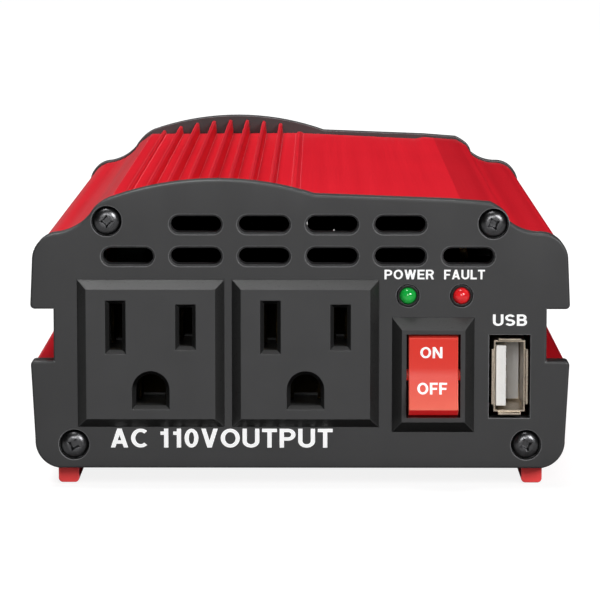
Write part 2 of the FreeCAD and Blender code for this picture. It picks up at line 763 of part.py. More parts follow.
def ground_cutter(x, z):
    """The ground hole: an arch on a flat foot, with a flared mouth. z is where the pin goes in."""
    face = front_face_y - d.outlet_proud
    start, flare_len = face - 0.1, d.slot_flare_len + 0.1
    arch_z, foot_z = z + d.ground_rise, z - d.ground_foot
    width, height = d.ground_r * 2, arch_z - foot_z
    arch = rod((x, start, arch_z), 6.0, d.ground_r)
    arch_flare = cone((x, start, arch_z), flare_len, d.ground_r + d.slot_flare / 2, d.ground_r)
    below = box((x, face + 3.0, (arch_z + foot_z) / 2), (width, 6.2, height))
    below_flare = frustum(
        x, (arch_z + foot_z) / 2, start, (width + d.slot_flare, height + d.slot_flare),
        start + flare_len, (width, height),
    )
    lower_half = block((x - width, face - 2.0, foot_z - 2.0), (x + width, face + 2.0, arch_z))
    return fuse(arch, arch_flare, below, common(below_flare, lower_half))


def contact_places(x):
    """Where the three contacts of the outlet at x stand, as name: (x, z, height of the slot)."""
    return {
        "neutral": (x - d.slot_spread, d.slot_z, d.neutral_height),
        "line": (x + d.slot_spread, d.slot_z, d.line_height),
        "ground": (x, d.slot_z - d.ground_drop, d.ground_r * 2),
    }


chamber_front = front_face_y + 1.6
outlet_back = front_face_y + d.outlet_depth
chamber_width = d.blade_thickness + d.leaf_thickness * 2 + 1.6


def outlet(name, x):
    face = front_face_y - d.outlet_proud
    inner_w, inner_h = d.outlet_width - d.outlet_bevel * 2, d.outlet_height - d.outlet_bevel * 2
    outer_size = (d.outlet_width, d.outlet_height)
    bezel = frustum(x, d.outlet_z, face, (inner_w, inner_h), front_face_y, outer_size)
    middle = (front_face_y + outlet_back) / 2
    body = box((x, middle, d.outlet_z), (d.outlet_body, d.outlet_depth, d.outlet_body))
    places = contact_places(x)
    cutters = [slot_cutter(*places[kind]) for kind in ("neutral", "line")]
    cutters.append(ground_cutter(*places["ground"][:2]))
    for kind, (cx, cz, height) in places.items():
        width = chamber_width + 2.4 if kind == "ground" else chamber_width
        cutters.append(block(
            (cx - width / 2, chamber_front, cz - height / 2 - 0.5),
            (cx + width / 2, outlet_back + 0.1, cz + height / 2 + 0.5),
        ))
    return part(name, cut(fuse(bezel, body), *cutters))


def outlet_cover(x):
    """The plate behind an outlet, slit for the three contact tails."""
    plate = block(
        (x - d.outlet_body / 2, outlet_back, d.outlet_z - d.outlet_body / 2),
        (x + d.outlet_body / 2, outlet_back + d.cover_thickness, d.outlet_z + d.outlet_body / 2),
    )
    slits = [
        box((cx, outlet_back + 0.8, cz), (d.leaf_thickness + 0.2, 3.0, 4.2))
        for cx, cz, _ in contact_places(x).values()
    ]
    return cut(plate, *slits)


def contact(cx, cz, height, gap):
    """A spring clip: two leaves joined at the back, with a tail for the wire."""
    back = outlet_back - 0.3
    front = back - d.contact_len
    reach = gap / 2 + d.leaf_thickness
    low, high = cz - height / 2, cz + height / 2
    outer = block((cx - reach, front, low), (cx + reach, back, high))
    inner_back = back - d.leaf_thickness
    inner = block((cx - gap / 2, front - 1.0, low - 1.0), (cx + gap / 2, inner_back, high + 1.0))
    tail = box((cx, back + 2.2, cz), (d.leaf_thickness, 5.0, 4.0))
    return fuse(cut(outer, inner), tail)


def contacts(kind, gap):
    clips = []
    for x in (d.outlet_left_x, d.outlet_right_x):
        cx, cz, height = contact_places(x)[kind]
        clips.append(contact(cx, cz, height, gap))
    return part(f"outlet_{kind}_contacts", group(*clips))


outlet("outlet_left", d.outlet_left_x)
outlet("outlet_right", d.outlet_right_x)
part("outlet_covers", group(outlet_cover(d.outlet_left_x), outlet_cover(d.outlet_right_x)))
contacts("neutral", d.blade_thickness + 0.1)
contacts("line", d.blade_thickness + 0.1)
contacts("ground", d.pin_r * 2 - 0.4)

# ---------------------------------------------------------------------------------------------
# Rocker switch
# ---------------------------------------------------------------------------------------------

bezel_face = front_face_y - d.bezel_proud
pivot_y = front_face_y + d.rocker_pivot
switch_back = front_face_y + d.switch_body_len
rocker_at = (d.switch_x, pivot_y, d.switch_z)
lever_pin_y = pivot_y + d.plunger_tip + 1.9
REST_TILT = 10.0
LEVER_TILT = 8.0


def switch_frame():
    x, z = d.switch_x, d.switch_z
    bezel = frustum(
        x, z, bezel_face, (d.rim_width, d.rim_height),
        front_face_y, (d.bezel_width, d.bezel_height),
    )
    middle = (front_face_y + switch_back) / 2
    body = box((x, middle, z), (d.switch_body_width, d.switch_body_len, d.switch_body_height))
    mouth = block(
        (x - d.mouth_width / 2, bezel_face - 1.0, z - d.mouth_height / 2),
        (x + d.mouth_width / 2, switch_back - 2.0, z + d.mouth_height / 2),
    )
    half = d.rocker_width / 2 + d.trunnion_reach + 0.1
    sockets = rod((x - half, pivot_y, z), half * 2, d.trunnion_r + d.trunnion_play, ALONG_X)
    slits = [
        box((x, switch_back - 1.0, z - drop), (6.4, 6.0, 1.0))
        for drop in (d.lever_half_height - 0.8, as_size(0.0))
    ]
    return part("switch_frame", cut(fuse(bezel, body), mouth, sockets, *slits))


def switch_rocker():
    """A shallow V with round ends, on two trunnions. Drawn level, then tipped to its ON rest."""
    body = new_body("switch_rocker")
    profile = sketch_at(body, -d.rocker_width / 2, "YZ_Plane")
    r = d.rocker_r
    crease_y, crease_z = -r * 0.465, r * 0.885
    back_z = (r * r - d.rocker_back * d.rocker_back).root()
    outline(profile, [
        (crease_y, -crease_z, -r * 6),
        (d.rocker_back, -back_z, r),
        (d.rocker_back, back_z),
        (crease_y, crease_z, r),
        (-d.rocker_middle, 0.0, -r * 6),
    ])
    pad(body, profile, d.rocker_width)
    pins = sketch_at(body, -d.rocker_width / 2 - d.trunnion_reach, "YZ_Plane")
    circle(pins, 0.0, 0.0, d.trunnion_r)
    pad(body, pins, d.rocker_width + d.trunnion_reach * 2)
    bore = sketch_at(body, d.rocker_back - 4.0)
    circle(bore, 0.0, 0.0, d.plunger_r + 0.1)
    pocket(body, bore, 4.1)
    move(body, rocker_at, Rotation(Vector(1, 0, 0), -REST_TILT))
    return part("switch_rocker", body)


def in_rocker(obj):
    """Carries something drawn about the rocker's own pivot to where the rocker rests."""
    return placed(obj, rocker_at, Rotation(Vector(1, 0, 0), -REST_TILT))


def switch_plunger():
    start = d.rocker_back - 1.4
    stem = rod((0.0, start, 0.0), d.plunger_tip - start - 0.7, 0.55)
    head = rod((0.0, d.plunger_tip - 3.2, 0.0), 2.5, d.plunger_r)
    tip = ball((0.0, d.plunger_tip - 0.8, 0.0), 0.8)
    return part("switch_plunger", in_rocker(fuse(stem, head, tip)))


def switch_spring():
    wire_r = as_size(0.12)
    helix = doc.addObject("Part::Helix", "Helix")
    length = d.plunger_tip - 3.2 - (d.rocker_back - 4.0) - wire_r * 2 - 0.04
    bind(helix, Pitch=Size(0.9), Height=length, Radius=as_size(0.85))
    move(helix, (0.0, d.rocker_back - 4.0 + wire_r + 0.02, 0.0), ALONG_Y)
    profile = doc.addObject("Part::Circle", "WireSection")
    bind(profile, Radius=wire_r)
    move(profile, (0.85, d.rocker_back - 4.0 + wire_r + 0.02, 0.0), Rotation())
    sweep = doc.addObject("Part::Sweep", "Spring")
    sweep.Sections = [profile]
    sweep.Spine = (helix, [])
    sweep.Solid = True
    sweep.Frenet = True
    return part("switch_spring", in_rocker(sweep))


def switch_lever():
    """The rocking contact under the plunger, drawn about its own pin and tipped to its ON rest."""
    half = d.lever_width / 2
    face = -0.2 - d.lever_thickness
    blade = block((-half, face, -d.lever_half_height), (half, -0.2, d.lever_half_height))
    pin = rod((-half - 0.8, 0.0, 0.0), d.lever_width + 1.6, d.lever_pin_r, ALONG_X)
    button = rod((0.0, -0.3, 0.8 - d.lever_half_height), 0.8, 0.8)
    lever_at = (d.switch_x, lever_pin_y, d.switch_z)
    tip = Rotation(Vector(1, 0, 0), LEVER_TILT)
    return part("switch_lever", placed(fuse(blade, pin, button), lever_at, tip))


def switch_terminals():
    """The pivot fork and the fixed contact, each ending in a tab behind the switch."""
    x, z = d.switch_x, d.switch_z
    fork_y = lever_pin_y
    half = d.lever_width / 2
    cheeks = [
        box((x + side * (half + 0.5), fork_y + 0.75, z), (0.6, 3.3, 2.0))
        for side in (-1, 1)
    ]
    bridge = block((x - half - 0.8, fork_y + 1.9, z - 1.0), (x + half + 0.8, fork_y + 2.4, z + 1.0))
    socket = rod((x - half - 1.0, fork_y, z), d.lever_width + 2.0, d.lever_pin_r + 0.05, ALONG_X)
    tab = block((x - 3.0, fork_y + 2.3, z - 0.4), (x + 3.0, switch_back + 7.0, z + 0.4))
    pivot = cut(fuse(*cheeks, bridge, tab), socket)
    low = z + 0.8 - d.lever_half_height
    pad_front = fork_y + 1.3
    button = rod((x, pad_front, low), 0.8, 0.9)
    strip = block((x - 3.0, pad_front + 0.7, low - 0.4), (x + 3.0, switch_back + 7.0, low + 0.4))
    return part("switch_terminals", group(pivot, fuse(button, strip)))


switch_frame()
switch_rocker()
switch_plunger()
switch_spring()
switch_lever()
switch_terminals()

# ---------------------------------------------------------------------------------------------
# Indicators and USB port
# ---------------------------------------------------------------------------------------------

LED_PLACES = {"power_led": d.led_power_x, "fault_led": d.led_fault_x}


def led(name, x):
    """A 3 mm lamp: a flange, a barrel and a domed end."""
    barrel_start = front_face_y - d.led_proud + d.led_r
    barrel = rod((x, barrel_start, d.led_z), 5.2 - d.led_r, d.led_r)
    dome = ball((x, barrel_start, d.led_z), d.led_r)
    flange = rod((x, front_face_y - d.led_proud + 4.2, d.led_z), 1.0, d.led_r + 0.3)
    return part(name, fuse(barrel, dome, flange))


def led_rings():
    """The collars the lamps are pushed into."""
    collars = []
    for x in LED_PLACES.values():
        start = front_face_y - 0.25
        tube = rod((x, start, d.led_z), 3.1, d.led_ring_r)
        collars.append(cut(tube, rod((x, start - 1.0, d.led_z), 6.0, d.led_r + 0.05)))
    return part("led_rings", group(*collars))


def led_leads():
    start = front_face_y - d.led_proud + 5.2
    pins = [
        box((x + side, start + 4.5, d.led_z), (0.5, 9.0, 0.5))
        for x in LED_PLACES.values() for side in (-0.635, 0.635)
    ]
    return part("led_leads", group(*pins))


def usb_shell():
    """A folded metal shell with its four mouth edges flared outwards."""
    x, z = d.usb_x, d.usb_z
    width, height = d.usb_width, d.usb_height
    inner_w, inner_h = width - d.usb_wall * 2, height - d.usb_wall * 2
    y = front_face_y + 0.6
    tube = block((x - width / 2, y, z - height / 2), (x + width / 2, y + d.usb_len, z + height / 2))
    hollow = block(
        (x - inner_w / 2, y - 1.0, z - inner_h / 2),
        (x + inner_w / 2, y + d.usb_len - d.usb_wall, z + inner_h / 2),
    )
    shell = cut(tube, hollow)
    flare, lip_y = 0.45, y - 1.0
    short_side, long_side = width - 1.6, height - 3.0
    lips = [
        frustum(x, z, lip_y, (width + flare * 2, long_side), y + 0.2, (width, long_side)),
        frustum(x, z, lip_y, (short_side, height + flare * 2), y + 0.2, (short_side, height)),
    ]
    mouth = [
        frustum(x, z, lip_y - 0.1, (inner_w + flare * 2, height), y + 0.3, (inner_w, height)),
        frustum(x, z, lip_y - 0.1, (width, inner_h + flare * 2), y + 0.3, (width, inner_h)),
    ]
    flared = cut(fuse(*lips), *mouth)
    return part("usb_shell", fuse(shell, flared))


def usb_tongue():
    """The insulating tongue on the left of the port, and the block it grows from."""
    x, z = d.usb_x, d.usb_z
    left = x - d.usb_width / 2 + d.usb_wall + 0.15
    y = front_face_y + 0.6
    back = y + d.usb_len - d.usb_wall
    half = d.usb_tongue_height / 2
    tongue = block((left, y + 0.6, z - half), (left + d.usb_tongue, back - 3.0, z + half))
    root = block((left, back - 3.0, z - half - 0.3), (left + d.usb_width - 1.0, back, z + half + 0.3))
    grooves = [box((left + d.usb_tongue, y + 5.0, z + s), (0.4, 7.0, 1.3)) for s in usb_contact_steps()]
    return part("usb_tongue", cut(fuse(tongue, root), *grooves))


def usb_contact_steps():
    return (-3.6, -1.2, 1.2, 3.6)


def usb_contacts():
    left = d.usb_x - d.usb_width / 2 + d.usb_wall + 0.15
    face = left + d.usb_tongue
    y = front_face_y + 0.6
    strips = [
        block((face - 0.2, y + 1.9, d.usb_z + s - 0.5), (face + 0.15, y + 8.3, d.usb_z + s + 0.5))
        for s in usb_contact_steps()
    ]
    return part("usb_contacts", group(*strips))


def usb_board():
    y = front_face_y + 0.6 + d.usb_len
    plate = block((d.usb_x - 7.0, y, d.usb_z - 5.5), (d.usb_x + 4.0, y + 1.6, d.usb_z + 9.0))
    return part("usb_board", plate)


for lamp, lamp_x in LED_PLACES.items():
    led(lamp, lamp_x)
led_rings()
led_leads()
usb_shell()
usb_tongue()
usb_contacts()
usb_board()

# ---------------------------------------------------------------------------------------------
# Circuit board and what stands on it
# ---------------------------------------------------------------------------------------------


def both_sides(side, near, far):
    """The lower and higher x of a span from near to far, on the right (1) or the left (-1)."""
    return (near, far) if side > 0 else (-far, -near)


def main_board():
    low = (-d.board_half_width, d.board_front_y, d.board_z)
    plate = block(low, (d.board_half_width, d.board_rear_y, board_top))
    drill_len = d.board_thickness + 2.0
    holes = [rod((x, y, d.board_z - 1.0), drill_len, 1.4, ALONG_Z) for x, y in board_corners()]
    return part("main_board", cut(plate, *holes))


def standoff(x, y):
    """A hexagonal pillar with a spigot below and a threaded bore above."""
    pillar = doc.addObject("Part::Prism", "Pillar")
    pillar.Polygon = 6
    bind(pillar, Circumradius=as_size(2.9), Height=d.board_z - plate_top)
    move(pillar, (x, y, plate_top))
    spigot = rod((x, y, plate_z + 0.1), d.plate_thickness, 1.5, ALONG_Z)
    return cut(fuse(pillar, spigot), rod((x, y, d.board_z - 3.5), 4.0, 1.3, ALONG_Z))


def board_screw(x, y):
    head = rod((x, y, board_top), 1.8, 2.6, ALONG_Z)
    shank = rod((x, y, board_top - 4.6), 4.7, 1.25, ALONG_Z)
    slot = box((x, y, board_top + 1.8), (4.0, 0.7, 1.2))
    return cut(fuse(head, shank), slot)


def transformer_core(x, y):
    foot = board_top + 1.5
    half, half_depth = d.core_width / 2, d.core_depth / 2
    outer = block((x - half, y - half_depth, foot), (x + half, y + half_depth, foot + d.core_height))
    windows = []
    for side in (-1, 1):
        left, right = both_sides(side, d.core_leg / 2, half - d.core_yoke)
        windows.append(block(
            (x + left, y - d.core_depth, foot + d.core_yoke),
            (x + right, y + d.core_depth, foot + d.core_height - d.core_yoke),
        ))
    return cut(outer, *windows)


def is_upright(edge):
    bound = edge.BoundBox
    return bound.XLength < 0.001 and bound.YLength < 0.001


def upright_block(x, y, low, high, width, depth, corner):
    """A block with its four upright edges rounded."""
    blank = block((x - width / 2, y - depth / 2, low), (x + width / 2, y + depth / 2, high))
    return rounded(blank, corner, is_upright)


def transformer_bobbin(x, y):
    """A flanged tube round the middle leg, standing on two pin rails."""
    low = board_top + 1.5 + d.core_yoke + 0.1
    high = low + d.core_height - d.core_yoke * 2 - 0.2
    hole_w, hole_d = d.core_leg + 0.4, d.core_depth + 0.4
    flange_w, flange_d = d.core_width - d.core_yoke * 2 - 0.4, d.core_depth + 13.0
    tube = box((x, y, (low + high) / 2), (hole_w + 2.0, hole_d + 2.0, high - low))
    flanges = [
        box((x, y, z), (flange_w, flange_d, 1.0)) for z in (low + 0.5, high - 0.5)
    ]
    rails = [
        block((x - flange_w / 2, y + s - 1.5, board_top + 0.05), (x + flange_w / 2, y + s + 1.5, low + 0.5))
        for s in (-10.4, 10.4)
    ]
    hole = box((x, y, (low + high) / 2), (hole_w, hole_d, high - low + 2.0))
    return cut(fuse(tube, *flanges, *rails), hole)


def transformer_winding(x, y):
    low = board_top + 1.5 + d.core_yoke + 1.15
    high = low + d.core_height - d.core_yoke * 2 - 2.3
    width, depth = d.core_width - d.core_yoke * 2 - 1.2, d.core_depth + 11.0
    outer = upright_block(x, y, low, high, width, depth, 4.0)
    hole = box((x, y, (low + high) / 2), (d.core_leg + 2.5, d.core_depth + 2.5, high - low + 2.0))
    return cut(outer, hole)


TRANSFORMERS = [(-17.0, 22.0), (17.0, 22.0)]


def can_capacitor(x, y, radius, height):
    """An aluminium can in its sleeve, with the rolled groove near its foot."""
    radius = as_size(radius)
    can = rod((x, y, board_top + 0.1), height, radius, ALONG_Z)
    groove = ring((x, y, board_top + 2.1), radius + 0.25, 0.6, ALONG_Z)
    dimple = rod((x, y, board_top + height - 0.2), 1.0, radius - 1.0, ALONG_Z)
    return cut(can, groove, dimple)


def transistor(side, y):
    """A flat power transistor with its metal tab against the housing wall."""
    foot = as_size(18.8)
    body_x = both_sides(side, bar_x, tab_x - 0.6)
    back_x = both_sides(side, tab_x - 1.3, tab_x)
    leg_x = both_sides(side, tab_x - 2.9, tab_x - 2.4)
    half = d.transistor_width / 2
    body = block((body_x[0], y - half, foot), (body_x[1], y + half, foot + 9.2))
    tab = block((back_x[0], y - half, foot + 0.4), (back_x[1], y + half, foot + 15.4))
    eye = rod((back_x[0] - 1.0, y, foot + 12.2), 4.0, 1.8, ALONG_X)
    legs = [
        block((leg_x[0], y + s - 0.4, board_top + 0.05), (leg_x[1], y + s + 0.4, foot + 0.1))
        for s in (-2.54, 0.0, 2.54)
    ]
    return cut(fuse(body, tab, *legs), eye)


def transistor_row(name, side, first_y):
    row_y = [first_y + d.transistor_pitch * i for i in range(4)]
    return part(name, group(*[transistor(side, y) for y in row_y]))


def clamp_screw_places():
    """Where each clamp bar is screwed to the wall, as (side, y)."""
    places = []
    for side, first_y in ((1, LOW_SIDE_Y), (-1, HIGH_SIDE_Y)):
        places += [(side, y) for y in clamp_screw_steps(first_y)]
    return places


def insulation_pad(side, first_y):
    pad_x = both_sides(side, tab_x, wall_x)
    low_y = first_y - d.transistor_width / 2 - 0.3
    high_y = first_y + d.transistor_pitch * 3 + d.transistor_width / 2 + 0.3
    sheet_block = block((pad_x[0], low_y, 21.0), (pad_x[1], high_y, 34.6))
    holes = [
        rod((pad_x[0] - 1.0, y, CLAMP_Z), 3.0, 1.6, ALONG_X)
        for place, y in clamp_screw_places() if place == side
    ]
    return cut(sheet_block, *holes)


def clamp_bar(side, first_y):
    edge_x = both_sides(side, bar_x - 2.4, bar_x)
    low_y = first_y - d.transistor_width / 2 + 0.5
    high_y = first_y + d.transistor_pitch * 3 + d.transistor_width / 2 - 0.5
    bar = block((edge_x[0], low_y, CLAMP_Z - 2.5), (edge_x[1], high_y, CLAMP_Z + 2.5))
    holes = [
        rod((edge_x[0] - 1.0, y, CLAMP_Z), 5.0, 1.5, ALONG_X)
        for place, y in clamp_screw_places() if place == side
    ]
    return cut(bar, *holes)


def clamp_screw(side, y):
    outer = bar_x - 2.4
    head_x = both_sides(side, outer - 1.8, outer)
    shank_x = both_sides(side, outer - 0.1, wall_x + 1.3)
    head = rod((head_x[0], y, CLAMP_Z), head_x[1] - head_x[0], 2.5, ALONG_X)
    shank = rod((shank_x[0], y, CLAMP_Z), shank_x[1] - shank_x[0], 1.25, ALONG_X)
    slot_x = both_sides(side, outer - 2.4, outer - 1.1)
    slot = block((slot_x[0], y - 0.35, CLAMP_Z - 4.0), (slot_x[1], y + 0.35, CLAMP_Z + 4.0))
    return cut(fuse(head, shank), slot)


def choke(x, y):
    """A drum core and the coil wound on it."""
    foot = board_top + 0.6
    drum = fuse(
        rod((x, y, foot), 2.0, 8.0, ALONG_Z),
        rod((x, y, foot), 14.0, 3.6, ALONG_Z),
        rod((x, y, foot + 12.0), 2.0, 8.0, ALONG_Z),
        rod((x, y, board_top + 0.05), 0.7, 2.0, ALONG_Z),
    )
    coil = cut(rod((x, y, foot + 2.05), 9.9, 7.3, ALONG_Z), rod((x, y, foot), 14.0, 3.7, ALONG_Z))
    part("choke_core", drum)
    part("choke_winding", coil)


FUSE_PLACES = [(-26.0, 46.0), (-18.0, 46.0), (-10.0, 46.0)]


def fuse_blade_steps():
    return (-6.5, 6.5)


def blade_fuse(x, y):
    """A plug-in fuse: a moulded head over two flat blades."""
    head = block((x - 2.5, y - 9.5, board_top + 9.0), (x + 2.5, y + 9.5, board_top + 16.0))
    waist = block((x - 1.8, y - 8.6, board_top + 6.5), (x + 1.8, y + 8.6, board_top + 9.1))
    blades = [
        block((x - 0.35, y + s - 2.5, board_top + 2.0), (x + 0.35, y + s + 2.5, board_top + 6.6))
        for s in fuse_blade_steps()
    ]
    return fuse(head, waist, *blades)


def fuse_clip(x, y):
    """Two leaves on a foot, gripping one blade."""
    outer = block((x - 1.0, y - 2.2, board_top + 0.05), (x + 1.0, y + 2.2, board_top + 6.0))
    return cut(outer, block((x - 0.4, y - 3.0, board_top + 1.5), (x + 0.4, y + 3.0, board_top + 7.0)))


def control_chip(x, y):
    """A chip with eight legs down each side."""
    body = block((x - 10.0, y - 3.2, board_top + 0.6), (x + 10.0, y + 3.2, board_top + 4.0))
    legs = [
        box((x + 2.54 * (step - 3.5), y + side, board_top + 1.025), (0.5, 0.4, 1.95))
        for step in range(8) for side in (-3.3, 3.3)
    ]
    return fuse(body, *legs)


main_board()
part("board_standoffs", group(*[standoff(x, y) for x, y in board_corners()]))
part("board_screws", group(*[board_screw(x, y) for x, y in board_corners()]))
part("transformer_cores", group(*[transformer_core(x, y) for x, y in TRANSFORMERS]))
part("transformer_bobbins", group(*[transformer_bobbin(x, y) for x, y in TRANSFORMERS]))
part("transformer_windings", group(*[transformer_winding(x, y) for x, y in TRANSFORMERS]))
part("input_capacitors", group(*[can_capacitor(x, 47.0, 5.0, 20.0) for x in (3.0, 14.0, 25.0)]))
part("high_voltage_capacitor", can_capacitor(-6.0, -22.0, 9.0, 27.0))
transistor_row("low_side_transistors", 1, LOW_SIDE_Y)
transistor_row("high_side_transistors", -1, HIGH_SIDE_Y)
part("insulation_pads", group(insulation_pad(1, LOW_SIDE_Y), insulation_pad(-1, HIGH_SIDE_Y)))
part("clamp_bars", group(clamp_bar(1, LOW_SIDE_Y), clamp_bar(-1, HIGH_SIDE_Y)))
part("clamp_screws", group(*[clamp_screw(side, y) for side, y in clamp_screw_places()]))
choke(20.0, -22.0)
part("blade_fuses", group(*[blade_fuse(x, y) for x, y in FUSE_PLACES]))
part("fuse_clips", group(*[fuse_clip(x, y + s) for x, y in FUSE_PLACES for s in fuse_blade_steps()]))
part("control_chips", group(control_chip(-13.0, -43.0), control_chip(13.0, -43.0)))

# ---------------------------------------------------------------------------------------------
# Fan
# ---------------------------------------------------------------------------------------------

fan_front_y = rear_y - d.fan_depth


def fan_frame():
    """A square ring whose motor plate is held by four struts, with a bearing sleeve."""
    x, z, y = d.fan_x, d.fan_z, fan_front_y
    square = box((x, y + d.fan_depth / 2, z), (d.fan_size, d.fan_depth, d.fan_size))
    bore = rod((x, y - 1.0, z), d.fan_depth + 2.0, d.fan_blade_r + 0.6)
    holes = [rod((cx, y - 1.0, cz), d.fan_depth + 2.0, 1.6) for cx, cz in fan_corners()]
    ring_part = cut(rounded(square, 2.5, is_along_y), bore, *holes)
    struts = [
        box((x, y + 0.6, z), (d.fan_blade_r * 2 + 3.0, d.fan_wall, 2.2)),
        box((x, y + 0.6, z), (2.2, d.fan_wall, d.fan_blade_r * 2 + 3.0)),
    ]
    plate = rod((x, y, z), d.fan_wall, d.fan_hub_r)
    sleeve = rod((x, y, z), 6.6, 2.3)
    shaft_hole = rod((x, y + 0.5, z), 8.0, d.shaft_r + d.shaft_play)
    return part("fan_frame", cut(fuse(ring_part, plate, sleeve, *struts), shaft_hole))


def is_along_y(edge):
    bound = edge.BoundBox
    return bound.XLength < 0.001 and bound.ZLength < 0.001


def fan_stator():
    """The wound poles round the bearing sleeve."""
    x, z, y = d.fan_x, d.fan_z, fan_front_y + d.fan_wall + 0.1
    coil = rod((x, y, z), 4.6, 6.6)
    arms = [
        box((x, y + 2.3, z), (16.0, 8.0, 1.4)),
        box((x, y + 2.3, z), (1.4, 8.0, 16.0)),
    ]
    gaps = []
    for arm in arms:
        zone = cut(rod((x, y - 1.0, z), 7.0, 8.0), rod((x, y - 2.0, z), 9.0, 4.2))
        gaps.append(common(arm, zone))
    return part("fan_stator", cut(coil, rod((x, y - 1.0, z), 7.0, 2.4), *gaps))


def fan_rotor():
    """The hub cup with its shaft and seven pitched blades."""
    x, z = d.fan_x, d.fan_z
    back = fan_front_y + d.fan_wall + 0.6
    top = back + d.fan_hub_len
    cup = cut(rod((x, back, z), d.fan_hub_len, d.fan_hub_r), rod((x, back - 1.0, z), d.fan_hub_len, 7.6))
    shaft = rod((x, fan_front_y + 0.7, z), top - fan_front_y - 1.0, d.shaft_r)
    blades = []
    middle = (back + top) / 2
    sweep_zone = cut(rod((x, back, z), d.fan_hub_len, d.fan_blade_r), rod((x, back - 1.0, z), 12.0, 8.4))
    for i in range(7):
        blade = doc.addObject("Part::Box", "Blade")
        chord, reach = as_size(7.6), d.fan_blade_r - d.fan_hub_r + 1.6
        bind(blade, Length=reach, Width=chord, Height=as_size(1.0))
        pitch = Rotation(Vector(1, 0, 0), 38)
        move(blade, (d.fan_hub_r - 1.0, -chord / 2 * 0.788, -chord / 2 * 0.616), pitch)
        turned = placed(blade, (x, middle, z), Rotation(Vector(0, 1, 0), 360.0 / 7 * i))
        blades.append(common(turned, sweep_zone))
    return part("fan_rotor", fuse(cup, shaft, *blades))


fan_frame()
fan_stator()
fan_rotor()

# ---------------------------------------------------------------------------------------------
# Binding posts
# ---------------------------------------------------------------------------------------------

post_face = rear_face_y + d.post_base_len
POSTS = {"positive": d.post_positive_x, "negative": d.post_negative_x}


def post_base(x):
    """The insulating collar outside the panel, with a neck through it."""
    collar = rod((x, rear_face_y, d.post_z), d.post_base_len, d.post_base_r)
    neck = rod((x, rear_y, d.post_z), d.panel_thickness + 0.1, d.stud_r + 1.5)
    return cut(fuse(collar, neck), rod((x, rear_y - 1.0, d.post_z), 12.0, d.stud_r + 0.1))


def post_bushing(x):
    tube = rod((x, rear_y - 1.8, d.post_z), 1.8, 5.6)
    return cut(tube, rod((x, rear_y - 3.0, d.post_z), 6.0, d.stud_r + 0.1))


def post_stud(x):
    start = rear_y - 8.0
    stud = rod((x, start, d.post_z), post_face + d.stud_len - start, d.stud_r)
    tip = cone((x, post_face + d.stud_len - 0.02, d.post_z), 0.6, d.stud_r, d.stud_r - 0.6)
    return fuse(stud, tip)


def post_nut(x):
    nut = doc.addObject("Part::Prism", "Nut")
    nut.Polygon = 6
    bind(nut, Circumradius=as_size(5.4), Height=as_size(2.8))
    move(nut, (x, rear_y - 5.8, d.post_z), ALONG_Y)
    return cut(nut, rod((x, rear_y - 8.0, d.post_z), 6.0, d.stud_r))


def post_washer(x):
    start = post_face + 0.05
    disc = rod((x, start, d.post_z), d.washer_len, d.washer_r)
    return cut(disc, rod((x, start - 1.0, d.post_z), 3.0, d.stud_r + 0.08))


def post_cap(x):
    """The screw cap: a fluted grip closed at its outer end."""
    start = post_face + 0.1 + d.washer_len
    body = rod((x, start, d.post_z), d.cap_len, d.cap_r)
    nose = cone((x, start + d.cap_len - 0.02, d.post_z), 1.2, d.cap_r - 0.4, d.cap_r - 1.8)
    bore = rod((x, start - 1.0, d.post_z), d.cap_len - 0.5, d.stud_r + 0.08)
    flutes = []
    for i in range(14):
        angle = 2 * math.pi * i / 14
        flute_x = x + (d.cap_r + 0.35) * math.cos(angle)
        flute_z = d.post_z + (d.cap_r + 0.35) * math.sin(angle)
        flutes.append(rod((flute_x, start + 1.6, flute_z), d.cap_len + 2.0, 0.8))
    return cut(fuse(body, nose), bore, *flutes)


for sign, post_x in POSTS.items():
    part(f"{sign}_washer", post_washer(post_x))
    part(f"{sign}_cap", post_cap(post_x))
part("post_bases", group(*[post_base(x) for x in POSTS.values()]))
part("post_bushings", group(*[post_bushing(x) for x in POSTS.values()]))
part("post_studs", group(*[post_stud(x) for x in POSTS.values()]))
part("post_nuts", group(*[post_nut(x) for x in POSTS.values()]))

# ---------------------------------------------------------------------------------------------
# Wires
# ---------------------------------------------------------------------------------------------


def cable(radius, *points):
    """A round wire along a smooth curve through the points."""
    vectors = [Vector(*[as_size(value).number for value in point]) for point in points]
    curve = Part.BSplineCurve()
    curve.interpolate(vectors)
    spine = Part.Wire([curve.toShape()])
    start, direction = curve.getD0(curve.FirstParameter), curve.getD1(curve.FirstParameter)[1]
    section = Part.Wire([Part.Circle(start, direction, as_size(radius).number).toShape()])
    obj = doc.addObject("Part::Feature", "Cable")
    obj.Shape = spine.makePipeShell([section], True, True)
    return obj


def battery_cable(name, x, landing_x):
    """A heavy wire with a ring lug on the post's stud."""
    lug_y = rear_y - 2.95
    lug = cut(
        rod((x, lug_y, d.post_z), 1.1, 5.2),
        rod((x, lug_y - 1.0, d.post_z), 4.0, d.stud_r + 0.1),
    )
    tongue = block((x - 1.4, lug_y, d.post_z - 9.0), (x + 1.4, lug_y + 1.1, d.post_z - 4.8))
    barrel = rod((x, lug_y - 0.4, d.post_z - 10.0), 4.0, 2.0, ALONG_Z)
    wire = cable(
        1.6,
        (x, lug_y - 0.4, d.post_z - 8.0),
        (x, lug_y - 1.0, d.post_z - 10.5),
        ((x + landing_x) / 2, lug_y - 8.0, board_top + 2.4),
        (landing_x, d.board_rear_y - 3.0, board_top + 1.7),
    )
    return part(name, fuse(lug, tongue, barrel, wire))


